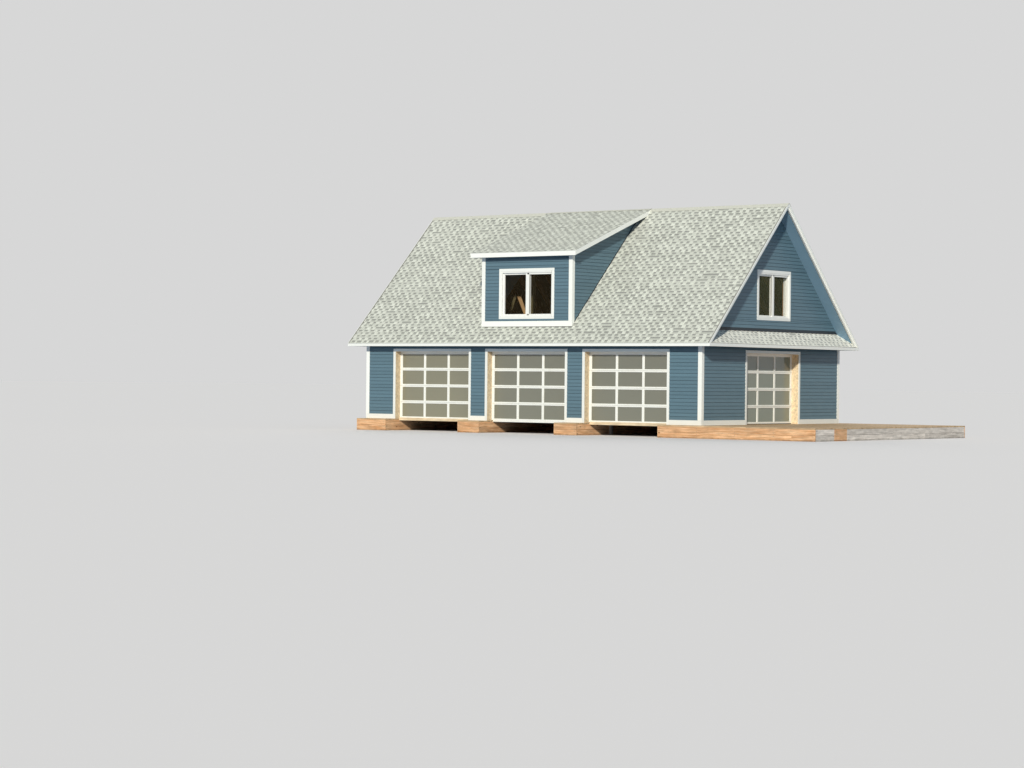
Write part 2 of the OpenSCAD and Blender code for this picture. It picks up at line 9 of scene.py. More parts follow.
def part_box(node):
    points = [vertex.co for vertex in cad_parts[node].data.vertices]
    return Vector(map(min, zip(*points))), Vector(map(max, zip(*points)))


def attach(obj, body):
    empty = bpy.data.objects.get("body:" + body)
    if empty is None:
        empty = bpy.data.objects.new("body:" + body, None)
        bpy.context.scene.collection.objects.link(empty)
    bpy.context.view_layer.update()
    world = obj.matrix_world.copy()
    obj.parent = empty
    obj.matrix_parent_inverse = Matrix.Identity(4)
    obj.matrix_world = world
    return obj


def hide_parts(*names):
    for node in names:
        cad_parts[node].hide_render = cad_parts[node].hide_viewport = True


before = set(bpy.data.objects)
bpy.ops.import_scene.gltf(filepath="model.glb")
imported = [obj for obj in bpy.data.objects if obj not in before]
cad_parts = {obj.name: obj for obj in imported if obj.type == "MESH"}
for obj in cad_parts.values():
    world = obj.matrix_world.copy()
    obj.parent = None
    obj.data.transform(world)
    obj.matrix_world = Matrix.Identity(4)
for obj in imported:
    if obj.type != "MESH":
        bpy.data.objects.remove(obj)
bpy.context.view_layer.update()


# Cribs
# Boxes of rough 2x8 softwood, spiked round corner posts and filled with stone. Two boards show above the
# water line, orange where they are new and grey where the sun has had them, and dark where the water laps.
def linear(hex_colour):
    """An sRGB hex colour as linear RGBA"""
    parts = [int(hex_colour[i:i + 2], 16) / 255 for i in (1, 3, 5)]
    return [p / 12.92 if p <= 0.04045 else ((p + 0.055) / 1.055) ** 2.4 for p in parts] + [1.0]


def add_node(tree, kind, inputs=None, output=0, **settings):
    """Adds a node with its settings, sets or links its inputs, and returns the output socket asked for"""
    node = tree.nodes.new(kind)
    for name, value in settings.items():
        setattr(node, name, value)
    for name, value in (inputs or {}).items():
        sockets = [s for s in node.inputs if s.enabled]
        socket = sockets[name] if isinstance(name, int) else next(s for s in sockets if s.name == name)
        if isinstance(value, bpy.types.NodeSocket):
            tree.links.new(value, socket)
        else:
            socket.default_value = linear(value) if isinstance(value, str) and value[0] == "#" else value
    found = [s for s in node.outputs if s.enabled and output in (0, s.name)]
    return found[0] if found else None


def new_material(name):
    """An empty node material and its tree"""
    material = bpy.data.materials.new(name)
    material.use_nodes = True
    material.node_tree.nodes.clear()
    return material, material.node_tree


def own_grain(tree):
    """Where a point lies in its own board's grain, with X along the board, and the board's own tone"""
    return (add_node(tree, "ShaderNodeAttribute", output="Vector", attribute_name="grain"),
            add_node(tree, "ShaderNodeAttribute", output="Fac", attribute_name="tone"))


def blended(tree, colour, other, by, low=0.0, high=1.0, most=1.0):
    """A colour that turns to another as a value runs from low to high, up to a share of most"""
    share = add_node(tree, "ShaderNodeMapRange", {"Value": by, "From Min": low, "From Max": high,
                                                  "To Max": most})
    return add_node(tree, "ShaderNodeMix", {"Factor": share, "A": colour, "B": other}, data_type="RGBA")


def varied(tree, colour, by, start, end, low=0.0, high=1.0):
    """A colour whose brightness goes from start to end as a value runs from low to high"""
    value = add_node(tree, "ShaderNodeMapRange", {"Value": by, "From Min": low, "From Max": high,
                                                  "To Min": start, "To Max": end})
    return add_node(tree, "ShaderNodeHueSaturation", {"Color": colour, "Value": value})


def finished(material, colour, rough, height, strength, depth, others=None):
    """Ends a material with its surface, whose bumps are so many metres deep"""
    tree = material.node_tree
    bump = add_node(tree, "ShaderNodeBump", {"Height": height, "Strength": strength, "Distance": depth})
    shade = add_node(tree, "ShaderNodeBsdfPrincipled", {"Base Color": colour, "Roughness": rough,
                                                        "Normal": bump, **(others or {})})
    add_node(tree, "ShaderNodeOutputMaterial", {"Surface": shade})
    return material


def lumber(name, pale, deep, knot, rough=0.8, wet_z=None):
    """Softwood off the saw: streaks 25 mm wide along the board, 3 mm grain lines, knots of 20 mm, and
    patches 300 mm long where resin, mill stain or sun has changed it

    wet_z is the height that the water laps to, on an edge that wanders every 140 mm.
    """
    material, tree = new_material(name)
    along, tone = own_grain(tree)
    wide, thin, spots, patches = (
        add_node(tree, "ShaderNodeVectorMath", {0: along, 1: per_metre}, operation="MULTIPLY")
        for per_metre in ((1.4, 38, 38), (9, 330, 330), (2.2, 5.5, 5.5), (3.2, 14, 14)))
    streaks = add_node(tree, "ShaderNodeTexNoise", {"Vector": wide, "Scale": 1.0, "Detail": 4.0})
    lines = add_node(tree, "ShaderNodeTexNoise", {"Vector": thin, "Scale": 1.0, "Detail": 2.0})
    from_knot = add_node(tree, "ShaderNodeTexVoronoi", {"Vector": spots, "Scale": 1.0})
    stain = add_node(tree, "ShaderNodeTexNoise", {"Vector": patches, "Scale": 1.0, "Detail": 3.0})
    colour = blended(tree, pale, deep, streaks, 0.3, 0.72)
    colour = blended(tree, colour, knot, lines, 0.5, 0.75, 0.35)
    colour = blended(tree, colour, knot, from_knot, 0.11, 0.05)
    colour = varied(tree, colour, stain, 1.15, 0.78, 0.3, 0.7)
    colour = varied(tree, colour, tone, 0.82, 1.14)
    dull = rough
    if wet_z:
        place = add_node(tree, "ShaderNodeTexCoord", output="Object")
        level = add_node(tree, "ShaderNodeSeparateXYZ", {"Vector": place}, "Z")
        ragged = add_node(tree, "ShaderNodeTexNoise", {"Vector": place, "Scale": 7.0, "Detail": 3.0})
        edge = add_node(tree, "ShaderNodeMath", {0: ragged, 1: 0.07, 2: level}, operation="MULTIPLY_ADD")
        wet = add_node(tree, "ShaderNodeMapRange", {"Value": edge, "From Min": wet_z + 0.05,
                                                    "From Max": wet_z, "To Max": 0.8})
        soaked = add_node(tree, "ShaderNodeHueSaturation", {"Color": colour, "Value": 0.3,
                                                            "Saturation": 1.1})
        colour = blended(tree, colour, soaked, wet)
        dull = add_node(tree, "ShaderNodeMapRange", {"Value": wet, "To Min": rough, "To Max": 0.35})
    height = add_node(tree, "ShaderNodeMath", {0: lines, 1: 0.5, 2: streaks}, operation="MULTIPLY_ADD")
    return finished(material, colour, dull, height, 0.5, 0.0015)


def new_tree(name, output, **inputs):
    """An empty Geometry Nodes tree with named inputs and one output, and the inputs' sockets"""
    tree = bpy.data.node_groups.new(name, "GeometryNodeTree")
    for label, kind in inputs.items():
        tree.interface.new_socket(label, in_out="INPUT", socket_type="NodeSocket" + kind)
    tree.interface.new_socket(output, in_out="OUTPUT", socket_type="NodeSocketGeometry")
    return tree, add_node(tree, "NodeGroupInput").node.outputs


def ended(tree, output, geometry, finish):
    """Ends a Geometry Nodes tree with its material and its named output"""
    geometry = add_node(tree, "GeometryNodeSetMaterial", {"Geometry": geometry, "Material": finish})
    add_node(tree, "NodeGroupOutput", {output: geometry})
    return tree


def stretched_boards():
    """One closed board on each point: a cube stretched from the point's foot line to its top line

    foot and top each hold left end, right end and height, measured in the plane of the wall or slope.
    """
    tree, given = new_tree("laid_boards", "Boards", Points="Geometry", Butt="Float", Head="Float",
                           Lift="Float", Tilt="Float", Heading="Float", Place="Vector", Seed="Int",
                           Finish="Material")
    cube = add_node(tree, "GeometryNodeMeshCube")
    boards = add_node(tree, "GeometryNodeInstanceOnPoints", {"Points": given["Points"], "Instance": cube})
    tone = add_node(tree, "FunctionNodeRandomValue", {"Seed": given["Seed"]}, data_type="FLOAT")
    drawn = add_node(tree, "FunctionNodeRandomValue", {"Min": (0, 0, 0), "Max": (40, 40, 40),
                                                       "Seed": given["Seed"]}, data_type="FLOAT_VECTOR")
    for label, kind, value in (("tone", "FLOAT", tone), ("drawn", "FLOAT_VECTOR", drawn)):
        boards = add_node(tree, "GeometryNodeStoreNamedAttribute", {
            "Geometry": boards, "Name": label, "Value": value}, domain="INSTANCE", data_type=kind)
    boards = add_node(tree, "GeometryNodeRealizeInstances", {"Geometry": boards})
    corner = add_node(tree, "ShaderNodeVectorMath", {0: add_node(tree, "GeometryNodeInputPosition"),
                                                     1: (0.5, 0.5, 0.5)}, operation="ADD")
    share = add_node(tree, "ShaderNodeSeparateXYZ", {"Vector": corner}).node.outputs
    foot, top, drawn = (add_node(tree, "GeometryNodeInputNamedAttribute", {"Name": label},
                                 data_type="FLOAT_VECTOR") for label in ("foot", "top", "drawn"))
    line = add_node(tree, "ShaderNodeMix", {"Factor": share["Y"], "A": foot, "B": top},
                    data_type="VECTOR")
    ends = add_node(tree, "ShaderNodeSeparateXYZ", {"Vector": line}).node.outputs
    across = add_node(tree, "ShaderNodeMix", {"Factor": share["X"], "A": ends["X"], "B": ends["Y"]},
                      data_type="FLOAT")
    thick = add_node(tree, "ShaderNodeMix", {"Factor": share["Y"], "A": given["Butt"],
                                             "B": given["Head"]}, data_type="FLOAT")
    out = add_node(tree, "ShaderNodeMath", {0: share["Z"], 1: thick, 2: given["Lift"]},
                   operation="MULTIPLY_ADD")
    flat = add_node(tree, "ShaderNodeCombineXYZ", {"X": across, "Y": ends["Z"], "Z": out})
    grain = add_node(tree, "ShaderNodeVectorMath", {0: flat, 1: drawn}, operation="ADD")
    for label, kind, value in (("grain", "FLOAT_VECTOR", grain), ("climb", "FLOAT", share["Y"])):
        boards = add_node(tree, "GeometryNodeStoreNamedAttribute", {
            "Geometry": boards, "Name": label, "Value": value}, data_type=kind)
    turn = add_node(tree, "ShaderNodeCombineXYZ", {"X": given["Tilt"], "Z": given["Heading"]})
    stood = add_node(tree, "ShaderNodeVectorRotate", {"Vector": flat, "Rotation": turn},
                     rotation_type="EULER_XYZ")
    placed = add_node(tree, "ShaderNodeVectorMath", {0: stood, 1: given["Place"]}, operation="ADD")
    boards = add_node(tree, "GeometryNodeSetPosition", {"Geometry": boards, "Position": placed})
    return ended(tree, "Boards", boards, given["Finish"])


boards_tree = stretched_boards()


def put(name, data):
    """A new object in the scene, at its origin"""
    made = bpy.data.objects.new(name, data)
    bpy.context.scene.collection.objects.link(made)
    return made


def grown(name, points, tree, values, ease=0.0):
    """Runs a Geometry Nodes tree on some points, eases the edges, and returns the plain mesh object"""
    carrier = put(name, points)
    modifier = carrier.modifiers.new("grow", "NODES")
    modifier.node_group = tree
    for socket in tree.interface.items_tree:
        if socket.name in values:
            modifier[socket.identifier] = values[socket.name]
    if ease:
        bevel = carrier.modifiers.new("ease", "BEVEL")
        bevel.width = ease
        bevel.segments = 1
        bevel.limit_method = "ANGLE"
    graph = bpy.context.evaluated_depsgraph_get()
    mesh = bpy.data.meshes.new_from_object(carrier.evaluated_get(graph), preserve_all_data_layers=True,
                                           depsgraph=graph)
    bpy.data.objects.remove(carrier)
    return put(name, mesh)


def lay(name, boards, plane, thick, finish, lift=0.0, head=None, ease=0.0, seed=1):
    """Lays boards, each a foot line and a top line, in a plane of (tilt, heading, place)"""
    points = bpy.data.meshes.new(name)
    points.from_pydata([(0, 0, 0)] * len(boards), [], [])
    for key, lines in zip(("foot", "top"), zip(*boards)):
        values = points.attributes.new(key, "FLOAT_VECTOR", "POINT")
        values.data.foreach_set("vector", [x for line in lines for x in line])
    tilt, heading, place = plane
    given = {"Butt": thick, "Head": thick if head is None else head, "Lift": lift, "Tilt": tilt,
             "Heading": heading, "Place": place, "Seed": seed, "Finish": finish}
    return grown(name, points, boards_tree, given, ease)


def rect(left, right, low, high):
    """A board or panel with square ends, as its foot line and its top line"""
    return (left, right, low), (left, right, high)


def in_lengths(board, longest, dice, joint=0.0015):
    """Cuts a long board into stock lengths, with tight joints at places drawn at random"""
    (left, right, low), (top_left, top_right, high) = board
    pieces = []
    while right - left > longest:
        cut = left + longest * dice.uniform(0.5, 1.0)
        pieces.append(((left, cut, low), (top_left, cut, high)))
        left = top_left = cut + joint
    pieces.append(((left, right, low), (top_left, top_right, high)))
    return pieces


def join(name, parts):
    """Joins finished meshes into one piece"""
    with bpy.context.temp_override(active_object=parts[0], object=parts[0], selected_objects=parts,
                                   selected_editable_objects=parts):
        bpy.ops.object.join()
    parts[0].name = name
    return parts[0]


def fit(piece, slot, *nodes):
    """Fixes a finished piece to the house, in place of the nodes it stands for"""
    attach(piece, "root")
    if nodes:
        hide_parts(*nodes)


def solids(node):
    """Low and high corners of each separate solid of a node, from left to right"""
    shell = bmesh.new()
    shell.from_mesh(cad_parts[node].data)
    bmesh.ops.remove_doubles(shell, verts=shell.verts, dist=1e-5)
    waiting, found = set(shell.verts), []
    while waiting:
        reach, corners = [waiting.pop()], []
        while reach:
            vert = reach.pop()
            corners.append(vert.co.copy())
            for edge in vert.link_edges:
                other = edge.other_vert(vert)
                if other in waiting:
                    waiting.remove(other)
                    reach.append(other)
        found.append((Vector(map(min, *corners)), Vector(map(max, *corners))))
    shell.free()
    return sorted(found, key=lambda box: [round(c, 3) for c in box[0]])


def face_plane(box, heading, level=0.0):
    """The plane of a box's upright face, from its left corner: 0 front, 90 right, 180 back, 270 left"""
    low, high = box
    corner = {0: (low.x, low.y), 90: (high.x, low.y), 180: (high.x, high.y), 270: (low.x, high.y)}
    return math.pi / 2, math.radians(heading), (*corner[heading], level)


def face_width(box, heading):
    """Width of a box's upright face"""
    size = box[1] - box[0]
    return size.x if heading in (0, 180) else size.y


new_lumber = lumber("crib_lumber", "#FBD0A4", "#C98C58", "#84502C", wet_z=0.035)
old_lumber = lumber("weathered_lumber", "#F6EBDF", "#D2C5B9", "#8A8076", rough=0.9, wet_z=0.035)
board_t, board_recess, board_ease = 0.038, 0.004, 0.003
stock_length = 4.88
finger_boxes = solids("finger_cribs")
dock_box, = solids("dock_crib")
back_box, = solids("back_crib")
crib_top, half_gap = dock_box[1].z, 0.002
crib_rows = ((0.0, crib_top / 2 - half_gap), (crib_top / 2 + half_gap, crib_top))


def crib_face(rows, box, heading, finish, seed):
    """Boards on one face of a crib, set back a little under the deck's edge"""
    return lay("face", rows, face_plane(box, heading), board_t, finish, lift=-board_t - board_recess,
               ease=board_ease, seed=seed)


def crib_boards(box, headings, finish, seed):
    """Two level boards round the faces of a crib that show, butted at its corners"""
    dice = random.Random(seed)
    parts = []
    for heading in headings:
        width = face_width(box, heading)
        inset = board_t if heading in (90, 270) else 0.0
        rows = [board for low, high in crib_rows
                for board in in_lengths(rect(inset, width - inset, low, high), stock_length, dice)]
        parts.append(crib_face(rows, box, heading, finish, seed + heading))
    return join("faces", parts)


def fastener_heads():
    """A low hexagonal disc on each point, turned to its facing"""
    tree, given = new_tree("fastener_heads", "Heads", Points="Geometry", Radius="Float",
                           Facing="Vector", Finish="Material")
    low = add_node(tree, "ShaderNodeMath", {0: given["Radius"], 1: 0.5}, operation="MULTIPLY")
    disc = add_node(tree, "GeometryNodeMeshCylinder", {"Vertices": 6, "Radius": given["Radius"],
                                                       "Depth": low}, fill_type="NGON")
    heads = add_node(tree, "GeometryNodeInstanceOnPoints", {
        "Points": given["Points"], "Instance": disc, "Rotation": given["Facing"]})
    heads = add_node(tree, "GeometryNodeRealizeInstances", {"Geometry": heads})
    return ended(tree, "Heads", heads, given["Finish"])


def metal(name, colour, rough, metallic=1.0):
    """Sheet or wire metal, or felt, rubber and coated sheet when not metallic: the skin has dulled in
    patches 17 mm wide, with 1 to 2 mm mottling in them"""
    material, tree = new_material(name)
    place = add_node(tree, "ShaderNodeTexCoord", output="Object")
    mottle = add_node(tree, "ShaderNodeTexNoise", {"Vector": place, "Scale": 60.0, "Detail": 4.0})
    dull = add_node(tree, "ShaderNodeMapRange", {"Value": mottle, "To Min": rough - 0.08,
                                                 "To Max": rough + 0.12})
    return finished(material, varied(tree, colour, mottle, 0.8, 1.15), dull, mottle, 0.2, 0.0005,
                    {"Metallic": metallic})


heads_tree = fastener_heads()
galvanised = metal("galvanised_steel", "#8E8F8C", 0.5)
spike_r, spike_inset, spike_spacing = 0.008, 0.07, 1.22
spike_heights = (0.045, 0.125, 0.215, 0.3)


def fasteners(spots, facing, radius):
    """Galvanised heads on some spots, all facing one way"""
    points = bpy.data.meshes.new("heads")
    points.from_pydata(spots, [], [])
    return grown("heads", points, heads_tree, {"Radius": radius, "Facing": facing,
                                               "Finish": galvanised})


def crib_spikes(box, headings):
    """Pairs of spikes through each board, over the posts and cross timbers"""
    parts = []
    for heading in headings:
        width = face_width(box, heading)
        count = max(1, round(width / spike_spacing))
        turn = Matrix.Rotation(math.radians(heading), 4, "Z") @ Matrix.Rotation(math.pi / 2, 4, "X")
        corner = Vector(face_plane(box, heading)[2])
        spots = [corner + turn @ Vector((spike_inset + (width - 2 * spike_inset) * i / count, high,
                                         -board_recess))
                 for i in range(count + 1) for high in spike_heights]
        parts.append(fasteners(spots, (math.pi / 2, 0, math.radians(heading)), spike_r))
    return parts


def prisms(name, shapes, finish, ease=0.0015, seed=1):
    """Closed prisms, each an outline and its thickness, with grain along the longest edge"""
    dice = random.Random(seed)
    body = bmesh.new()
    grain = body.verts.layers.float_vector.new("grain")
    tone = body.verts.layers.float.new("tone")
    for outline, thick in shapes:
        thick = Vector(thick)
        low = [body.verts.new(p) for p in outline]
        high = [body.verts.new(v.co + thick) for v in low]
        count = len(low)
        body.faces.new(low)
        body.faces.new(high)
        for i in range(count):
            body.faces.new((low[i], low[(i + 1) % count], high[(i + 1) % count], high[i]))
        edges = [low[(i + 1) % count].co - low[i].co for i in range(count)] + [thick]
        along = max(edges, key=lambda edge: edge.length).normalized()
        across = along.orthogonal().normalized()
        out = along.cross(across)
        drawn = Vector([dice.uniform(0, 40) for axis in range(3)])
        shade = dice.random()
        for vert in low + high:
            vert[grain] = Vector((vert.co.dot(along), vert.co.dot(across), vert.co.dot(out))) + drawn
            vert[tone] = shade
    bmesh.ops.recalc_face_normals(body, faces=body.faces)
    if ease:
        bmesh.ops.bevel(body, geom=body.edges[:], offset=ease, segments=1, affect="EDGES")
    mesh = bpy.data.meshes.new(name)
    body.to_mesh(mesh)
    body.free()
    mesh.materials.append(finish)
    return put(name, mesh)


def slab(low, high):
    """An upright or level board between two corners, as an outline and its thickness"""
    size = Vector(high) - Vector(low)
    thin = min(range(3), key=lambda i: size[i])
    first, second = (i for i in range(3) if i != thin)
    outline = []
    for one, two in ((0, 0), (1, 0), (1, 1), (0, 1)):
        corner = Vector(low)
        corner[first] += one * size[first]
        corner[second] += two * size[second]
        outline.append(corner)
    thick = Vector((0, 0, 0))
    thick[thin] = size[thin]
    return outline, thick


stone_fill = lumber("crib_inside", "#4A4138", "#332C26", "#1E1A17", rough=0.95)
core_inset = 0.03


def build_crib(name, box, faces, spiked, slot, *nodes):
    """Fits a crib: its boards, the dark inside behind them and under the deck, and its spikes"""
    low, high = box
    inside = slab((low.x + core_inset, low.y + core_inset, 0.0),
                  (high.x - core_inset, high.y - core_inset, crib_top - core_inset))
    core = prisms("core", [inside], stone_fill, ease=0)
    fit(join(name, [*faces, core, *crib_spikes(box, spiked)]), slot, *nodes)


for i, box in enumerate(finger_boxes):
    faces = crib_boards(box, (0, 90, 270), new_lumber, seed=10 + i)
    build_crib(f"finger_crib_{i + 1}", box, [faces], (0, 90, 270), "crib_timber",
               *(["finger_cribs"] if i == 0 else []))

# The dock's right side was boarded from what was left: a grey board, an orange one, then old boards
grey_end, orange_end, side_joint = 1.10, 1.83, 0.002
side_length = face_width(dock_box, 90)
dock_new = crib_boards(dock_box, (0, 180, 270), new_lumber, seed=20)
dock_orange = crib_face([rect(grey_end, orange_end, low, high) for low, high in crib_rows], dock_box, 90,
                        new_lumber, seed=21)
dock_dice = random.Random(22)
old_rows = []
for low, high in crib_rows:
    old_rows.append(rect(board_t, grey_end - side_joint, low, high))
    old_rows += in_lengths(rect(orange_end + side_joint, side_length - board_t, low, high), stock_length,
                           dock_dice)
dock_old = crib_face(old_rows, dock_box, 90, old_lumber, seed=23)
build_crib("dock_crib_boards", dock_box, [dock_new, dock_orange, dock_old], (0, 90, 180, 270),
           "crib_timber", "dock_crib")
back_faces = crib_boards(back_box, (0, 180, 270), old_lumber, seed=30)
build_crib("back_crib_boards", back_box, [back_faces], (180, 270), "old_timber", "back_crib")


# Decks
# 2x6 softwood planks across the fingers and the dock, 6 mm apart, each held by two screws at every joist.
# They are new on the fingers and the dock, and grey on the narrow walk behind the house.
deck_lumber = lumber("deck_lumber", "#D8BC98", "#B8966E", "#80603F", rough=0.82)
deck_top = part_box("dock_deck")[1].z
plank_pitch, plank_gap, plank_joint = 0.1466, 0.006, 0.003
joist_spacing = 0.406
screw_inset, screw_r = 0.028, 0.0045


def deck(name, low, high, finish, seed):
    """Planks and screws over one rectangle of joists"""
    dice = random.Random(seed)
    depth, width = high.y - low.y, high.x - low.x
    count = round(depth / plank_pitch)
    pitch = depth / count
    joists = max(2, round(width / joist_spacing))
    rows, spots = [], []
    for i in range(count):
        front = i * pitch + (plank_gap / 2 if i else 0)
        back = (i + 1) * pitch - (plank_gap / 2 if i < count - 1 else 0)
        rows += in_lengths(rect(0, width, front, back), stock_length, dice, joint=plank_joint)
        for j in range(joists + 1):
            x = low.x + screw_inset + (width - 2 * screw_inset) * j / joists
            spots += [(x, low.y + front + screw_inset, high.z), (x, low.y + back - screw_inset, high.z)]
    planks = lay(name, rows, (0.0, 0.0, (low.x, low.y, low.z)), high.z - low.z, finish,
                 ease=board_ease, seed=seed)
    return join(name, [planks, fasteners(spots, (0, 0, 0), screw_r)])


deck_boxes = solids("finger_decks")
for i, (low, high) in enumerate(deck_boxes[:-1]):
    planks = deck(f"finger_deck_{i + 1}", low, high, deck_lumber, seed=40 + i)
    fit(planks, "deck_timber", *(["finger_decks"] if i == 0 else []))
dock_planks = deck("dock_planks", deck_boxes[-1][0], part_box("dock_deck")[1], deck_lumber, seed=45)
fit(dock_planks, "deck_timber", "dock_deck")
fit(deck("back_deck_planks", *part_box("back_deck"), old_lumber, seed=46), "old_timber", "back_deck")


# Bumper post
# A grey 4x4 spiked to the crib in the right slip, its top corners cut off where lines rub over it.
post_low, post_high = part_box("slip_post")
post_cut, post_cap, post_ease = 0.018, 0.4, 0.004
post_shoulder = post_high.z - post_cut
post_outline = [(post_low.x, post_low.y), (post_high.x, post_low.y), (post_high.x, post_high.y),
                (post_low.x, post_high.y)]
post_shapes = [([(x, y, 0) for x, y in post_outline], (0, 0, post_shoulder)),
               ([(x, y, post_shoulder) for x, y in post_outline], (0, 0, post_cut * post_cap))]
fit(prisms("bumper_post", post_shapes, old_lumber, ease=post_ease, seed=50), "old_timber", "slip_post")


# Walls
# 2x6 stud walls with sheathing, clad in lap siding of pressed wood, 108 mm to the weather, factory painted
# a satin navy blue. Each course is nailed blind and covers the head of the one below.
wall_low = Vector((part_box("left_wall")[0].x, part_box("front_header")[0].y, deck_top))
wall_high = Vector((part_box("front_header")[1].x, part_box("back_wall")[1].y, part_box("eave_soffits")[0].z))
house = (wall_low, wall_high)
house_w, house_d = face_width(house, 0), face_width(house, 90)
front, right, back, left = (face_plane(house, heading) for heading in (0, 90, 180, 270))
soffit_z = wall_high.z
corner_w = 0.115
base_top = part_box("base_trim")[1].z
trim_t = 0.020
siding_exposure, siding_length, siding_ease = 0.108, 3.66, 0.0012
siding_butt, siding_head = 0.017, 0.003
least_course = 0.004


def sheathing():
    """Plywood sheathing on the inner faces of the walls: bands of veneer 17 mm high and 170 mm long"""
    material, tree = new_material("sheathing_ply")
    place = add_node(tree, "ShaderNodeTexCoord", output="Object")
    long = add_node(tree, "ShaderNodeMapping", {"Vector": place, "Scale": (6, 6, 60)})
    veneer = add_node(tree, "ShaderNodeTexNoise", {"Vector": long, "Scale": 1.0, "Detail": 5.0})
    return finished(material, blended(tree, "#A87E54", "#8A6440", veneer), 0.85, veneer, 0.3, 0.001)


def paint(name, colour, shadow, rough, grain_scale, depth, laid=True, lap_shade=None):
    """Satin factory paint over wood: the grain shows as ridges, and boards differ a little

    grain_scale is the ridges per metre along and across a board: the siding's pressed cedar grain is 7 mm
    wide and 400 mm long. Faded clouds are 450 mm wide. The lap colour is painted shade: it darkens the last
    15 mm of each course, where the next course's edge casts its shadow.
    """
    material, tree = new_material(name)
    if laid:
        place, tone = own_grain(tree)
    else:
        place = add_node(tree, "ShaderNodeTexCoord", output="Object")
        tone = add_node(tree, "ShaderNodeTexNoise", {"Vector": place, "Scale": 1.5})
    ridges = add_node(tree, "ShaderNodeVectorMath", {0: place, 1: grain_scale}, operation="MULTIPLY")
    grain = add_node(tree, "ShaderNodeTexNoise", {"Vector": ridges, "Scale": 1.0, "Detail": 4.0})
    cloud = add_node(tree, "ShaderNodeTexNoise", {"Vector": place, "Scale": 2.2, "Detail": 3.0})
    mixed = add_node(tree, "ShaderNodeMath", {0: cloud, 1: 0.6, 2: -0.05}, operation="MULTIPLY_ADD")
    colour = varied(tree, blended(tree, colour, shadow, mixed), tone, 0.94, 1.06)
    if lap_shade:
        climb = add_node(tree, "ShaderNodeAttribute", output="Fac", attribute_name="climb")
        # Painted shade: the top of each course darkens under the next course's edge
        colour = blended(tree, colour, lap_shade, climb, 0.84, 0.94, 0.75)
    dull = add_node(tree, "ShaderNodeMapRange", {"Value": cloud, "To Min": rough - 0.06,
                                                 "To Max": rough + 0.1})
    return finished(material, colour, dull, grain, 0.5, depth)


def at_height(panel, height):
    """The line across a panel at some height, between its foot line and its top line"""
    foot, top = (Vector(line) for line in panel)
    return foot.lerp(top, (height - foot.z) / (top.z - foot.z))


def courses(panel, start, exposure):
    """Number, foot and top of each course across a panel, where all courses line up from the start"""
    low, high = panel[0][2], panel[1][2]
    for k in range(math.floor((low - start) / exposure), math.ceil((high - start) / exposure)):
        foot_z, top_z = max(low, start + k * exposure), min(high, start + (k + 1) * exposure)
        if top_z - foot_z > least_course:
            yield k, foot_z, top_z


def side_it(name, panels, plane, seed):
    """Lap siding over some panels of one wall"""
    dice = random.Random(seed)
    rows = []
    for panel in panels:
        for k, foot_z, top_z in courses(panel, base_top, siding_exposure):
            row = tuple(at_height(panel, foot_z)), tuple(at_height(panel, top_z))
            rows += in_lengths(row, siding_length, dice)
    fit(lay(name, rows, plane, siding_butt, siding_paint, head=siding_head, ease=siding_ease, seed=seed),
        "siding")


# The siding's lap colour is painted shade under each course's edge
siding_paint = paint("siding_paint", "#5F7B89", "#536F7E", 0.42, (2.5, 150, 150), 0.0006, lap_shade="#2C3D47")
plain_paint = paint("painted_trim_board", "#5C7885", "#516D7B", 0.45, (3, 40, 40), 0.0004, laid=False)
# The gables' overhang boards take a lighter blue than the siding: painted light, for light thrown up from
# below
overhang_paint = paint("overhang_paint", "#80A0B6", "#7394A9", 0.45, (3, 40, 40), 0.0004, laid=False)
ply = sheathing()
for node in ("front_piers", "front_header", "right_wall_piers", "right_header", "left_wall", "back_wall",
             "right_gable_wall", "left_gable_wall", "dormer_front_wall", "dormer_cheeks", "loft_floor"):
    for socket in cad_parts[node].material_slots:
        socket.material = plain_paint if node.startswith("dormer") else ply

# Each opening's clear left and right edge and head, on its own wall, from the jambs that line it
jamb_t = 0.038
casing_w = 0.090
jamb_boxes = solids("door_jambs")
front_jambs, side_jamb = jamb_boxes[:3], jamb_boxes[3]
front_clear = [(low.x + jamb_t - wall_low.x, high.x - jamb_t - wall_low.x) for low, high in front_jambs]
side_clear = (side_jamb[0].y + jamb_t - wall_low.y, side_jamb[1].y - jamb_t - wall_low.y)
door_head = side_jamb[1].z - jamb_t
casing_top = door_head + casing_w


def wall_panels(width, openings):
    """A wall's panels between corner boards and door casings, and the strips over the casings"""
    panels, at = [], corner_w
    for left_edge, right_edge in openings:
        panels.append(rect(at, left_edge - casing_w, base_top, soffit_z))
        panels.append(rect(left_edge - casing_w, right_edge + casing_w, casing_top, soffit_z))
        at = right_edge + casing_w
    panels.append(rect(at, width - corner_w, base_top, soffit_z))
    return panels


walls = (("front", house_w, front_clear, front), ("right", house_d, [side_clear], right),
         ("back", house_w, [], back), ("left", house_d, [], left))
for i, (name, width, clears, plane) in enumerate(walls):
    side_it(f"{name}_siding", wall_panels(width, clears), plane, 60 + i)

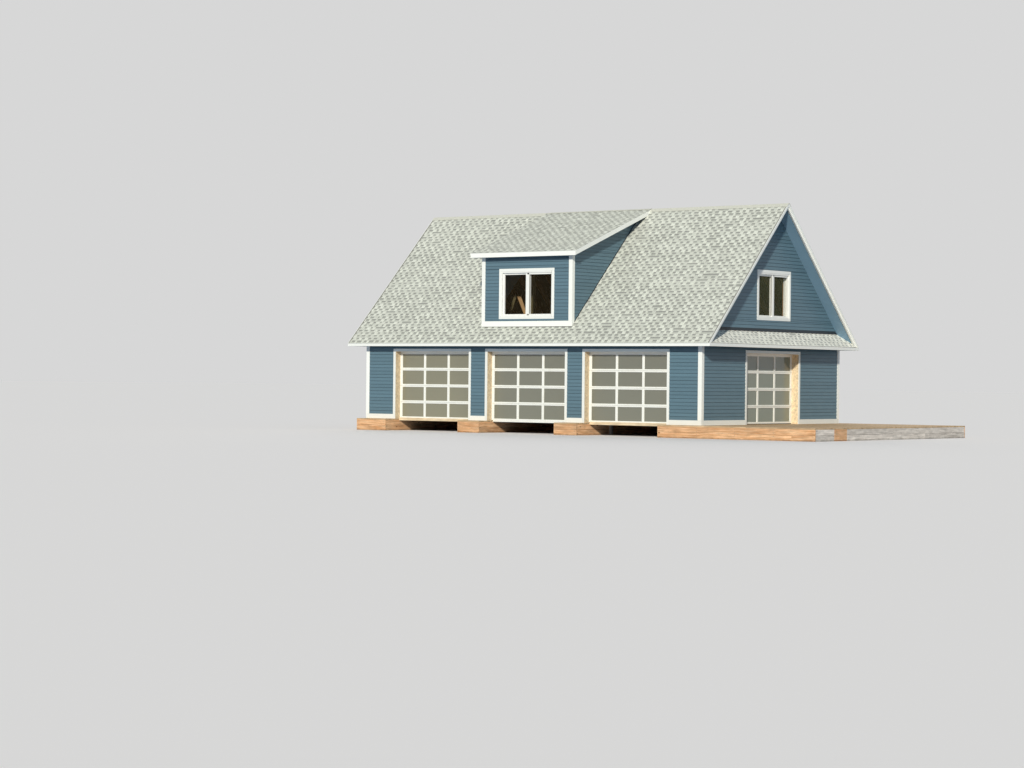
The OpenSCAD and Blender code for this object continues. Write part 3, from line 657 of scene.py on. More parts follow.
# Gables: siding from the flashing on the pent roof up to the boards under the roof's overhang
ridge_y, ridge_z = (wall_low.y + wall_high.y) / 2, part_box("roof_back")[1].z
shingle_plumb_t = 0.017
eave_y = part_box("eave_fascias")[0].y
eave_out = wall_low.y - eave_y
gable_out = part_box("pent_fascias")[1].x - wall_high.x
fascia_low, fascia_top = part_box("eave_fascias")[0].z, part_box("eave_fascias")[1].z
eave_z = fascia_top + shingle_plumb_t
roof_rise = (ridge_z - eave_z) / (house_d / 2 + eave_out)
roof_pitch = math.atan(roof_rise)
roof_t = 0.066
roof_plumb_t = roof_t / math.cos(roof_pitch)
pent_pitch = math.radians(38)
pent_wall_z = eave_z + gable_out * math.tan(pent_pitch)
flashing_h, flashing_t, flashing_lap = 0.085, 0.004, 0.004
under_board_t = 0.012
under_plumb_t = under_board_t / math.cos(roof_pitch)
flashing_under, apex_gap = 0.01, 0.03
gable_foot = pent_wall_z + flashing_h
window_boxes = solids("gable_windows")
win_low, win_high = window_boxes[1]
win_trim_in = 0.015
win_left, win_right = win_low.y - wall_low.y + win_trim_in, win_high.y - wall_low.y - win_trim_in


def roof_z(inward):
    """Height of the main roof's surface at a distance inward from the outer face of the wall"""
    return eave_z + (inward + eave_out) * roof_rise


def gable_line(height):
    """Left and right end of the siding at a height of the gable"""
    inward = (height - roof_z(0) + roof_plumb_t + under_plumb_t) / roof_rise
    return inward, house_d - inward, height


apex = ridge_z - roof_plumb_t - under_plumb_t - apex_gap
low_line, sill_line, lintel_line = (gable_line(z) for z in (gable_foot, win_low.z, win_high.z))
gable_panels = [
    (low_line, sill_line),
    ((sill_line[0], win_left, win_low.z), (lintel_line[0], win_left, win_high.z)),
    ((win_right, sill_line[1], win_low.z), (win_right, lintel_line[1], win_high.z)),
    (lintel_line, gable_line(apex)),
]
side_it("right_gable_siding", gable_panels, right, 64)
side_it("left_gable_siding", gable_panels, left, 65)

# The flashing is bronze sheet, bent up the wall behind the siding and out over the pent shingles. Its colour
# is partly the metal's own and partly painted shade, for the shadow under the siding's foot.
bronze_and_shade = metal("bronze_flashing", "#28323A", 0.6, metallic=0.0)
for name, plane in (("right_pent_flashing", right), ("left_pent_flashing", left)):
    upright = (gable_line(pent_wall_z - flashing_under), gable_line(gable_foot + flashing_lap))
    fit(lay(name, [upright], plane, flashing_t, bronze_and_shade), None)


# Loft framing
# 2x8 rafters at 610 mm under the roof deck, studs inside the gables and a long brace: what the windows show
# of the bare loft. Fresh softwood, nailed and unpainted. The studs and a second brace take a darker copy of
# it, which is painted shade.
framing = lumber("framing_lumber", "#CDA97D", "#AE8859", "#6E4E31", rough=0.85)
# A darker copy of the framing lumber: painted shade for the studs and brace in the loft's shade
shaded_framing = lumber("aged_framing_lumber", "#6F6644", "#5A5236", "#3C3625", rough=0.9)
rafter_h, rafter_spacing, first_rafter, last_rafter = 0.184, 0.61, 0.3, 0.5
plate_in, ridge_beam, trimmer_gap = 0.25, 0.15, 0.05
slope_length = (eave_out + house_d / 2) / math.cos(roof_pitch)
front_slope = (roof_pitch, 0.0, (wall_low.x, wall_low.y - eave_out, fascia_top))
back_slope = (roof_pitch, math.pi, (wall_high.x, wall_high.y + eave_out, fascia_top))
dormer_roof_low, dormer_roof_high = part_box("dormer_roof")
dormer_low, dormer_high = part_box("dormer_front_wall")
dormer_left, dormer_right = dormer_low.x - wall_low.x, dormer_high.x - wall_low.x
rafter_foot = (eave_out + plate_in) / math.cos(roof_pitch)
rafter_top = slope_length - ridge_beam
rafter_lift = -(roof_plumb_t - shingle_plumb_t) * math.cos(roof_pitch) - rafter_h
rafter_xs = [first_rafter + i * rafter_spacing
             for i in range(int((house_w - last_rafter) / rafter_spacing) + 1)]
beside_dormer = [x for x in rafter_xs
                 if not dormer_left - trimmer_gap < x < dormer_right + trimmer_gap]
rafters = [lay("rafters", [rect(x, x + board_t, rafter_foot, rafter_top) for x in xs], slope, rafter_h,
               framing, lift=rafter_lift, seed=seed)
           for xs, slope, seed in ((beside_dormer, front_slope, 70), (rafter_xs, back_slope, 71))]
loft_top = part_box("loft_floor")[1].z
frame_at = wall_low.y + 1.505


def loft_board(corners):
    """A 38 mm board standing in the loft, from (x, z) corners measured off the house's left face"""
    return [(wall_low.x + x, frame_at, z) for x, z in corners], (0, board_t, 0)


studs = [loft_board([(5.56, loft_top), (5.76, loft_top), (5.76, 5.083), (5.56, 5.083)]),
         loft_board([(6.60, loft_top), (6.638, loft_top), (6.638, 5.20), (6.60, 5.20)])]
brace = loft_board([(5.72, loft_top), (5.83, loft_top), (5.154, 4.386), (5.022, 4.386)])
shaded_brace = loft_board([(4.33, loft_top), (4.44, loft_top), (5.022, 4.44), (4.93, 4.44)])
fit(join("loft_framing", [*rafters, prisms("braces", [brace], framing, seed=72),
                          prisms("studs", [*studs, shaded_brace], shaded_framing, seed=73)]), "deck_timber")


# Roofs
# Plywood on rafters, covered with laminated asphalt shingles, 127 mm to the weather. Each shingle is a
# plain strip with a darker band near its top, under thick tabs glued on by tens of inches, so the band
# shows only in the gaps. Mineral granules make the colour. Bent caps cover the ridge.
shingle_exposure, shingle_start = 0.1274, -0.006
strip_length, strip_stagger, strip_joint = 1.0, 0.165, 0.002
strip_butt, strip_head = 0.0055, 0.003
tab_period, tab_stagger, tab_drift, tab_taper = 0.254, 0.105, 0.02, 0.006
tab_gaps, tabs_missing = (0.105, 0.185), 0.02
tab_butt, tab_head = 0.0115, 0.0085
least_width = 0.012


def granules(name, light, middle, dark, band=None):
    """Crushed mineral pressed in asphalt: 2 mm grains of mixed greys, drawn 3 mm wide to show, in
    blotches of 40 mm. band is the darker colour of a strip's upper half"""
    material, tree = new_material(name)
    place, tone = own_grain(tree)
    specks = add_node(tree, "ShaderNodeTexVoronoi", {"Vector": place, "Scale": 320.0}, "Color")
    speck = add_node(tree, "ShaderNodeSeparateColor", {"Color": specks}, "Red")
    blotch = add_node(tree, "ShaderNodeTexNoise", {"Vector": place, "Scale": 26.0, "Detail": 5.0})
    colour = blended(tree, light, middle, blotch, 0.35, 0.65, 0.8)
    colour = blended(tree, colour, dark, speck, 0.86, 0.9, 0.8)
    if band:
        climb = add_node(tree, "ShaderNodeAttribute", output="Fac", attribute_name="climb")
        colour = blended(tree, colour, band, climb, 0.5, 0.66, 0.92)
    return finished(material, varied(tree, colour, tone, 0.85, 1.08), 0.92, speck, 0.35, 0.0008,
                    {"Specular IOR Level": 0.3})


tab_granules = granules("shingle_tabs", "#E9EBE0", "#D5D7CE", "#B0B1A9")
strip_granules = granules("shingle_strips", "#D3D5CB", "#C3C4BB", "#9A9B97", band="#979893")
# Lighter copies of the roof's granules for the pent roofs: painted light, since the pent's slope catches less
# of the key light
pent_tabs_painted_light = granules("pent_shingle_tabs", "#FBFBF3", "#ECECE3", "#C2C2B9")
pent_strips_painted_light = granules("pent_shingle_strips", "#EFEFE7", "#E0DFD7", "#B0B0AB", band="#B3B4AF")
felt = metal("roofing_felt", "#2B2A28", 0.85, metallic=0.0)


def clipped(board, panel):
    """A board with its ends cut to a panel's ends, or nothing where little is left"""
    (left, right, low), (top_left, top_right, high) = board
    low_line, high_line = at_height(panel, low), at_height(panel, high)
    left, right = max(left, low_line.x), min(right, low_line.y)
    top_left, top_right = max(top_left, high_line.x), min(top_right, high_line.y)
    if max(right - left, top_right - top_left) < least_width:
        return []
    return [((left, max(left, right), low), (top_left, max(top_left, top_right), high))]


def repeats(ends, offset, period, spare=0):
    """Numbers of the repeats, one period apart from an offset, that cover a course's ends"""
    return range(math.floor((min(ends) - offset) / period) - spare,
                 math.ceil((max(ends) - offset) / period) + spare)


def shingle(name, panels, plane, strip_finish=strip_granules, tab_finish=tab_granules):
    """Strips and tabs over some panels of a slope; a course is the same whichever panel it crosses"""
    strips, tabs = [], []
    for panel in panels:
        for k, foot_z, top_z in courses(panel, shingle_start, shingle_exposure):
            ends = [*at_height(panel, foot_z)[:2], *at_height(panel, top_z)[:2]]
            shift = (k * strip_stagger) % strip_length
            for i in repeats(ends, shift, strip_length):
                x = shift + i * strip_length
                strips += clipped(rect(x, x + strip_length - strip_joint, foot_z, top_z), panel)
            phase = (k % 2) * tab_stagger + random.Random(k).uniform(-tab_drift, tab_drift)
            for i in repeats(ends, phase, tab_period, spare=1):
                dice = random.Random(k * 4001 + i)
                x = phase + i * tab_period + dice.uniform(-tab_drift, tab_drift)
                wide = tab_period - dice.uniform(*tab_gaps)
                if dice.random() > tabs_missing:
                    tab = (x, x + wide, foot_z), (x - tab_taper, x + wide + tab_taper, top_z)
                    tabs += clipped(tab, panel)
    return join(name, [
        lay(name, strips, plane, strip_butt, strip_finish, head=strip_head, seed=80),
        lay(name, tabs, plane, tab_butt, tab_finish, head=tab_head, seed=81)])


def band(foot, head, below, above=0.0):
    """The profile of what runs up a slope from foot to head, each (y, z), and is cut plumb at both"""
    return [(foot[0], foot[1] - below), (head[0], head[1] - below), (head[0], head[1] + above),
            (foot[0], foot[1] + above)]


def up_the_slope(x, profile, way, thick):
    """A prism along x from a profile of (y, z) on the front slope, or mirrored to the back: way -1"""
    return [(x, ridge_y + way * (y - ridge_y), z) for y, z in profile], (thick, 0, 0)


def slope_deck(name, x_low, x_high, foot, head, plumb_t):
    """A roof deck from foot to head, up to the shingles' underside"""
    return prisms(name, [up_the_slope(x_low, band(foot, head, plumb_t), 1, x_high - x_low)], felt, ease=0)


ridge_under = (ridge_y, ridge_z - shingle_plumb_t)
deck_plumb_t = roof_plumb_t - shingle_plumb_t
roof_left, roof_right = -gable_out, house_w + gable_out
flashing_gap, deck_inset, end_gap, head_gap = 0.008, 0.055, 0.006, 0.004
dormer_face_y = dormer_low.y
below_length = (dormer_face_y - wall_low.y + eave_out) / math.cos(roof_pitch) - head_gap
below_head = (dormer_face_y, roof_z(dormer_face_y - wall_low.y) - shingle_plumb_t)
deck_left, deck_right = roof_left + deck_inset, roof_right - deck_inset
deck_foot = (wall_low.y - eave_out + trim_t, fascia_top + trim_t * roof_rise)
for side, deck_ends, ends, head, length in (
        ("left", (deck_left, dormer_left), (roof_left + end_gap, dormer_left - flashing_gap),
         ridge_under, slope_length),
        ("right", (dormer_right, deck_right), (dormer_right + flashing_gap, roof_right - end_gap),
         ridge_under, slope_length),
        ("below", (dormer_left, dormer_right), (dormer_left - flashing_gap, dormer_right + flashing_gap),
         below_head, below_length)):
    fit(slope_deck(f"front_deck_{side}", *(wall_low.x + x for x in deck_ends), deck_foot, head,
                   deck_plumb_t), None)
    fit(shingle(f"front_shingles_{side}", [rect(*ends, shingle_start, length)], front_slope), "shingles",
        f"roof_front_{side}")
fit(slope_deck("back_deck", wall_low.x + deck_left, wall_low.x + deck_right,
               (2 * ridge_y - deck_foot[0], deck_foot[1]), ridge_under, deck_plumb_t), None)
back_panel = rect(roof_left + end_gap, roof_right - end_gap, shingle_start, slope_length)
fit(shingle("back_shingles", [back_panel], back_slope), "shingles", "roof_back")

# Pent roofs: the same shingles on a skirt at each gable's foot, cut to the main roof's underside, in lighter
# granules that are painted light, for the light the pent's slope lacks
pent_length = gable_out / math.cos(pent_pitch)
pent_foot_gap, pent_sheet_t, pent_sheet_lift = 0.010, 0.05, -0.052
sheet_foot_in, sheet_head_in = 0.03, 0.05


def pent_line(climb):
    """The pent roof's ends at some way up its slope, where the main roof's underside stops it"""
    height = fascia_top + climb * math.sin(pent_pitch)
    inner = (height - roof_z(0) + roof_plumb_t) / roof_rise
    return inner, house_d - inner, climb


pent_panel = pent_line(pent_foot_gap), pent_line(pent_length - head_gap)
sheet_panel = pent_line(sheet_foot_in), pent_line(pent_length - sheet_head_in)
for name, heading in (("right", 90), ("left", 270)):
    tilt, turn, place = face_plane(house, heading, fascia_top)
    outward = Matrix.Rotation(turn, 4, "Z") @ Vector((0, -gable_out, 0))
    pent_plane = (pent_pitch, turn, tuple(Vector(place) + outward))
    cover = shingle(f"{name}_pent_shingles", [pent_panel], pent_plane, pent_strips_painted_light, pent_tabs_painted_light)
    sheet = lay("deck", [sheet_panel], pent_plane, pent_sheet_t, ply, lift=pent_sheet_lift)
    fit(join(f"{name}_pent_roof", [cover, sheet]), "shingles", *(["pent_roofs"] if name == "right" else []))


# Ridge caps
# Single shingles cut in three and bent over the ridge, each lapping the one before it by half, in the
# roof's lightest grey. In front of the dormer they bend less.
cap_reach, cap_t, cap_exposure, cap_length = 0.115, 0.005, 0.1274, 0.2
cap_lift, cap_crown, cap_end_in = 0.0035, 0.02, 0.075
cap_leg_t, cap_crown_t = cap_t * 1.4, cap_t * 1.2
crown_bend, tip_share = 0.6, 0.9


def row_of_caps():
    """A bent cap on each point along the ridge, tipped up over the one before it"""
    tree, given = new_tree("ridge_caps", "Caps", Points="Geometry", Cap="Object", Count="Int",
                           Exposure="Float", Tip="Float", Start="Vector", Finish="Material")
    step = add_node(tree, "ShaderNodeCombineXYZ", {"X": given["Exposure"]})
    row = add_node(tree, "GeometryNodeMeshLine", {"Count": given["Count"], "Start Location":
                                                  given["Start"], "Offset": step})
    cap = add_node(tree, "GeometryNodeObjectInfo", {"Object": given["Cap"]}, "Geometry")
    tip = add_node(tree, "ShaderNodeCombineXYZ", {"Y": given["Tip"]})
    caps = add_node(tree, "GeometryNodeInstanceOnPoints", {"Points": row, "Instance": cap,
                                                           "Rotation": tip})
    tone = add_node(tree, "FunctionNodeRandomValue", {"Seed": 5}, data_type="FLOAT")
    caps = add_node(tree, "GeometryNodeStoreNamedAttribute", {"Geometry": caps, "Name": "tone",
                                                              "Value": tone}, domain="INSTANCE")
    caps = add_node(tree, "GeometryNodeRealizeInstances", {"Geometry": caps})
    place = add_node(tree, "GeometryNodeInputPosition")
    caps = add_node(tree, "GeometryNodeStoreNamedAttribute", {"Geometry": caps, "Name": "grain",
                                                              "Value": place}, data_type="FLOAT_VECTOR")
    return ended(tree, "Caps", caps, given["Finish"])


cap_granules = granules("ridge_cap_granules", "#E5E5D8", "#D5D4CB", "#AFB0A5")
caps_tree = row_of_caps()


def caps_along(x_low, x_high, front_rise):
    """The caps of one stretch of ridge, whose front leg falls with the roof in front"""
    front_foot, back_foot = -cap_reach * front_rise, -cap_reach * roof_rise
    front_crown, back_crown = -cap_crown * front_rise * crown_bend, -cap_crown * crown_bend
    under = [(-cap_reach, front_foot), (-cap_crown, front_crown), (cap_crown, back_crown),
             (cap_reach, back_foot)]
    over = [(cap_reach, back_foot + cap_leg_t), (cap_crown, cap_crown_t + back_crown),
            (-cap_crown, cap_crown_t + front_crown), (-cap_reach, front_foot + cap_leg_t)]
    cap = prisms("cap", [([(0, y, z) for y, z in under + over], (-cap_length, 0, 0))], cap_granules,
                 ease=0)
    count = round((x_high - x_low) / cap_exposure)
    pitch = (x_high - x_low) / count
    made = grown("caps", bpy.data.meshes.new("caps"), caps_tree, {
        "Cap": cap, "Count": count, "Exposure": pitch, "Tip": -math.asin(cap_t / cap_exposure) * tip_share,
        "Start": (wall_low.x + x_low + pitch, ridge_y, ridge_z + cap_lift), "Finish": cap_granules})
    bpy.data.objects.remove(cap)
    return made


dormer_eave_left = dormer_roof_low.x - wall_low.x
dormer_eave_right = dormer_roof_high.x - wall_low.x
dormer_fascia_h = 0.146
under_slope_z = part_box("dormer_soffit")[0].z
dormer_eave_top = under_slope_z + dormer_fascia_h
dormer_run = ridge_y - dormer_roof_low.y
dormer_rise = (ridge_under[1] - dormer_eave_top) / dormer_run
ridge_caps = join("ridge_caps", [
    caps_along(roof_left + cap_end_in, dormer_eave_left, roof_rise),
    caps_along(dormer_eave_left, dormer_eave_right, dormer_rise),
    caps_along(dormer_eave_right, roof_right, roof_rise)])
fit(ridge_caps, "shingles", "ridge_cap")


# Dormer
# A shed dormer: its own plywood and shingles from a boxed eave up to the main ridge, siding on its face and
# cheeks, boards painted white round its corners, foot and eave, and a blue soffit.
soffit_paint = paint("soffit_paint", "#48606F", "#405768", 0.5, (3, 3, 3), 0.0004, laid=False)
dormer_pitch = math.atan(dormer_rise)
dormer_deck_t = 0.06
dormer_slope = (dormer_pitch, 0.0, (wall_low.x, dormer_roof_low.y, dormer_eave_top))
dormer_length = dormer_run / math.cos(dormer_pitch)
dormer_panel = rect(dormer_eave_left, dormer_eave_right, shingle_start, dormer_length)
dormer_cover = shingle("dormer_shingles", [dormer_panel], dormer_slope)
boxed_left, boxed_right = dormer_roof_low.x + trim_t, dormer_roof_high.x - trim_t
soffit_front = dormer_roof_low.y + trim_t
boxed_foot = (soffit_front, dormer_eave_top + trim_t * dormer_rise)
dormer_deck = slope_deck("deck", boxed_left, boxed_right, boxed_foot, ridge_under, dormer_deck_t)
fit(join("dormer_roof_shingled", [dormer_cover, dormer_deck]), "shingles", "dormer_roof")

under_shapes = [slab((boxed_left, soffit_front, under_slope_z),
                     (boxed_right, dormer_face_y, under_slope_z + under_board_t))]
foot_z = dormer_eave_top - dormer_deck_t - under_board_t + (soffit_front - dormer_roof_low.y) * dormer_rise
head_z = foot_z + (ridge_y - soffit_front) * dormer_rise
boxed_profile = band((soffit_front, foot_z), (ridge_y, head_z), 0, under_board_t)
under_shapes += [up_the_slope(x_low, boxed_profile, 1, x_high - x_low)
                 for x_low, x_high in ((boxed_left, dormer_low.x), (dormer_high.x, boxed_right))]
fit(prisms("dormer_soffit_boards", under_shapes, soffit_paint, ease=0), "soffit", "dormer_soffit")

dormer_face = (math.pi / 2, 0.0, (wall_low.x, dormer_face_y, 0.0))
window_low, window_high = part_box("dormer_window")
glazed_left = window_low.x - wall_low.x + win_trim_in
glazed_right = window_high.x - wall_low.x - win_trim_in
dormer_base_h = 0.176
dormer_base_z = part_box("dormer_trim")[0].z
dormer_sill_z = dormer_base_z + dormer_base_h
face_left, face_right = dormer_left + corner_w, dormer_right - corner_w
side_it("dormer_siding", [rect(face_left, face_right, dormer_sill_z, window_low.z),
                          rect(face_left, glazed_left, window_low.z, window_high.z),
                          rect(glazed_right, face_right, window_low.z, window_high.z),
                          rect(face_left, face_right, window_high.z, under_slope_z)], dormer_face, 90)

# Cheeks: cut along the main slope below, where step flashing shows, and along the dormer's eave above
cheek_start = dormer_face_y - wall_low.y + corner_w
step_h, step_t, step_lap, step_over = 0.045, 0.006, 0.01, 0.004
step_near_in, step_away_in = 0.02, 0.1
cheek_top_drop, low_tip_w, high_tip_w, high_tip_drop = 0.075, 0.001, 0.01, 0.005
slope_base = roof_z(0) + step_h
roof_base = dormer_eave_top - cheek_top_drop - (dormer_roof_low.y - wall_low.y) * dormer_rise
turn_z = roof_base + cheek_start * dormer_rise
point = (roof_base - slope_base) / (roof_rise - dormer_rise)
turn_line = (cheek_start, (turn_z - slope_base) / roof_rise, turn_z)
low_tip = (cheek_start, cheek_start + low_tip_w, slope_base + cheek_start * roof_rise)
high_tip = (point - high_tip_w, point, slope_base + point * roof_rise - high_tip_drop)
right_cheek = [(low_tip, turn_line), (turn_line, high_tip)]
left_cheek = [tuple((house_d - b, house_d - a, z) for a, b, z in panel) for panel in right_cheek]
side_it("dormer_right_cheek_siding", right_cheek,
        (math.pi / 2, math.pi / 2, (dormer_high.x, wall_low.y, 0.0)), 91)
side_it("dormer_left_cheek_siding", left_cheek,
        (math.pi / 2, -math.pi / 2, (dormer_low.x, wall_high.y, 0.0)), 92)
step_foot, step_head = ((wall_low.y + inward, roof_z(inward)) for inward in (
    dormer_face_y - wall_low.y + step_near_in, house_d / 2 - step_away_in))
step_profile = band(step_foot, step_head, step_lap, step_h + step_over)
step_shapes = [up_the_slope(x, step_profile, 1, step_t) for x in (dormer_low.x - step_t, dormer_high.x)]
# The step flashing shares the flashing's colour, darkened with painted shade
fit(prisms("dormer_step_flashing", step_shapes, bronze_and_shade, ease=0), None)


# Doors
# Sectional overhead doors of aluminium, powder coated white: four sections of hollow rails and stiles round
# three panes of obscured glass, which thin beads hold. A rubber seal runs along the foot.
def powder_coat():
    """White polyester powder on aluminium: even and softly glossy, with the coat's faint 2.4 mm ripple and
    patches of dust 330 mm wide"""
    material, tree = new_material("white_powder_coat")
    place = add_node(tree, "ShaderNodeTexCoord", output="Object")
    ripple = add_node(tree, "ShaderNodeTexNoise", {"Vector": place, "Scale": 420.0, "Detail": 1.0})
    dust = add_node(tree, "ShaderNodeTexNoise", {"Vector": place, "Scale": 3.0, "Detail": 5.0})
    return finished(material, blended(tree, "#FAFAF4", "#ECE9DD", dust, 0.5, 0.8, 0.5), 0.35, ripple,
                    0.15, 0.0004)


def obscured_glass():
    """Glazing with a rough grey film behind a polished face: it hides the room and mirrors softly

    The film is uneven in clouds of 600 mm over a 6 mm texture, and darker towards the door heads, which is
    painted shade. Its yellower tint towards the house's left end, from 2.8 to 5.0 m left of the middle, and
    its greener tint in the side door, past 4.2 m on the right, are painted reflections.
    """
    material, tree = new_material("obscured_glass")
    place = add_node(tree, "ShaderNodeTexCoord", output="Object")
    level, across = (add_node(tree, "ShaderNodeSeparateXYZ", {"Vector": place}, axis) for axis in "ZX")
    # Painted shade: the panes darken towards the door heads
    climb = add_node(tree, "ShaderNodeMapRange", {"Value": level, "From Min": deck_top,
                                                  "From Max": door_head})
    film = add_node(tree, "ShaderNodeTexNoise", {"Vector": place, "Scale": 1.6, "Detail": 6.0})
    cloud = add_node(tree, "ShaderNodeMath", {0: film, 1: 0.5, 2: climb}, operation="MULTIPLY_ADD")
    # Painted reflections: yellower towards the left end, greener in the side door
    colour = blended(tree, "#78786B", "#86836F", across, -2.8, -5.0)
    colour = blended(tree, colour, "#7D8477", across, 4.2, 4.4)
    colour = varied(tree, colour, cloud, 1.14, 0.86, 0.0, 1.5)
    texture = add_node(tree, "ShaderNodeTexNoise", {"Vector": place, "Scale": 160.0})
    return finished(material, colour, 0.5, texture, 0.1, 0.0005,
                    {"Coat Weight": 1.0, "Coat Roughness": 0.06})


coat = powder_coat()
rubber = metal("black_rubber", "#26272A", 0.7, metallic=0.0)
obscured = obscured_glass()
leaf_t, wall_t, leaf_lap, seam = 0.045, 0.235, 0.020, 0.004
rail_ease, bead_ease, seal_ease, hairline = 0.003, 0.0025, 0.004, 0.001
bead_w, bead_t, bead_back = 0.006, 0.018, 0.007
pane_t, foot_rail_h = 0.006, 0.050
seal_h, seal_in, seal_slack = 0.018, 0.007, 0.004
leaf_lift = -wall_t - leaf_t
pane_parts = []


def spans(values):
    """The separate (low, high) pairs among many, to a millimetre"""
    return sorted({(round(low, 3), round(high, 3)) for low, high in values})


def seal_strip(row, plane, ease, seed):
    """Rubber in the middle of the leaf's thickness"""
    return lay("seal", [row], plane, leaf_t - 2 * seal_in, rubber, lift=leaf_lift + seal_in, ease=ease,
               seed=seed)


def door_leaf(name, panes, clear, plane, along, foot, top):
    """One leaf: every section's frame round its panes, the beads, and the seal"""
    start = wall_low[along]
    columns = spans((low[along] - start, high[along] - start) for low, high in panes)
    rows = spans((low.z, high.z) for low, high in panes)
    rows[0] = (min(rows[0][0], foot + foot_rail_h), rows[0][1])
    left_edge, right_edge = clear[0] - leaf_lap, clear[1] + leaf_lap
    stiles = [left_edge, *(x for column in columns for x in column), right_edge]
    members, beads = [], []
    for k, (low, high) in enumerate(rows):
        bottom = foot if k == 0 else (rows[k - 1][1] + low) / 2 + seam / 2
        ceiling = top if k == len(rows) - 1 else (high + rows[k + 1][0]) / 2 - seam / 2
        members += [rect(left_edge, right_edge, bottom, low), rect(left_edge, right_edge, high, ceiling)]
        members += [rect(stiles[i], stiles[i + 1], low, high) for i in range(0, len(stiles), 2)]
        for inner, outer in columns:
            beads += [rect(inner, outer, low, low + bead_w), rect(inner, outer, high - bead_w, high),
                      rect(inner, inner + bead_w, low + bead_w, high - bead_w),
                      rect(outer - bead_w, outer, low + bead_w, high - bead_w)]
    glass = [rect(inner, outer, low, high) for low, high in rows for inner, outer in columns]
    pane_parts.append(lay("panes", glass, plane, pane_t, obscured, lift=leaf_lift + (leaf_t - pane_t) / 2,
                          seed=94))
    return join(name, [
        lay("frame", members, plane, leaf_t, coat, lift=leaf_lift, ease=rail_ease, seed=95),
        lay("beads", beads, plane, bead_t, coat, lift=-wall_t - bead_back - bead_t, ease=bead_ease,
            seed=96),
        seal_strip(rect(clear[0] + seal_slack, clear[1] - seal_slack, foot - seal_h, foot), plane,
                   seal_ease, 97)])


leaf_foot, leaf_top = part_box("side_door")[0].z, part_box("side_door")[1].z
pane_boxes = solids("door_panes")
side_panes = [box for box in pane_boxes if box[1].x - box[0].x < 0.1]
front_panes = [box for box in pane_boxes if box[1].x - box[0].x > 0.1]
for i, (left_edge, right_edge) in enumerate(front_clear):
    mine = [box for box in front_panes if left_edge < box[0].x - wall_low.x < right_edge]
    leaf = door_leaf(f"front_door_{i + 1}", mine, (left_edge, right_edge), front, 0, leaf_foot, leaf_top)
    if i == 1:
        # The middle leaf reaches down between its cribs with a drop rail and a seal of its own
        drop_z, drop_seal_h, drop_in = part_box("front_doors")[0].z, 0.012, 0.051
        tail_left, tail_right = left_edge + drop_in, right_edge - drop_in
        tail = rect(tail_left, tail_right, drop_z + drop_seal_h, leaf_foot - hairline)
        seal = rect(tail_left + seal_slack, tail_right - seal_slack, drop_z, drop_z + drop_seal_h)
        leaf = join(leaf.name, [
            leaf, lay("tail", [tail], front, leaf_t, coat, lift=leaf_lift, ease=rail_ease, seed=98),
            seal_strip(seal, front, 0.0, 99)])
    fit(leaf, "door_frame", *(["front_doors"] if i == 0 else []))
side_leaf = door_leaf("side_door_leaf", side_panes, side_clear, right, 1, leaf_foot, leaf_top)
fit(side_leaf, "door_frame", "side_door")
fit(join("door_glazing", pane_parts), "obscured_glass", "door_panes")


# Door surrounds
# 2x10 jambs of bare softwood line each opening, and 1x4 boards painted warm white are nailed over the joint
# with the siding: two legs, and a head across their tops. Bare sills close the two outer slips.
jamb_lumber = lumber("jamb_lumber", "#F2E1C2", "#DEC29A", "#A87B4E", rough=0.75)
trim_paint = paint("trim_paint", "#FBFCF8", "#EFEFE7", 0.4, (3, 60, 60), 0.0003)
trim_ease = 0.002


def trim(rows, plane, seed, lift=0.0, ease=trim_ease):
    """1x boards painted warm white, nailed flat on a face of the house"""
    return lay("trim", rows, plane, trim_t, trim_paint, lift=lift, ease=ease, seed=seed)


def three_boards(clear, width, top):
    """Two legs and a head of some width round a door's clear opening"""
    left_edge, right_edge = clear
    return [rect(left_edge - width, left_edge, deck_top, door_head),
            rect(right_edge, right_edge + width, deck_top, door_head),
            rect(left_edge - width, right_edge + width, door_head + hairline, top)]


openings = [(clear, plane) for name, width, clears, plane in walls for clear in clears]
jambs = [lay("jambs", three_boards(clear, jamb_t, door_head + jamb_t), plane, wall_t, jamb_lumber,
             lift=-wall_t, ease=trim_ease, seed=100) for clear, plane in openings]
casings = [trim(three_boards(clear, casing_w, casing_top), plane, 101) for clear, plane in openings]
fit(join("door_jamb_boards", jambs), "jamb_timber", "door_jambs")
fit(join("door_casing_boards", casings), "white_trim", "door_casings")
sills = prisms("door_sill_boards", [slab(*box) for box in solids("door_sills")], jamb_lumber,
               ease=board_ease, seed=102)
fit(sills, "crib_timber", "door_sills")


# Windows
# White vinyl sliders: a deep outer frame, and two sashes that pass each other behind it, with the meeting
# stiles in the middle. 1x4 boards case them on the wall. The glass is clear, and the loft behind is dark.
def vinyl():
    """Extruded white vinyl: smooth and a little warm, with 2 mm unevenness and a haze in 200 mm patches"""
    material, tree = new_material("white_vinyl")
    place = add_node(tree, "ShaderNodeTexCoord", output="Object")
    haze = add_node(tree, "ShaderNodeTexNoise", {"Vector": place, "Scale": 5.0, "Detail": 4.0})
    fine = add_node(tree, "ShaderNodeTexNoise", {"Vector": place, "Scale": 500.0})
    return finished(material, blended(tree, "#FAFAF6", "#F0F0EA", haze), 0.3, fine, 0.1, 0.0003)


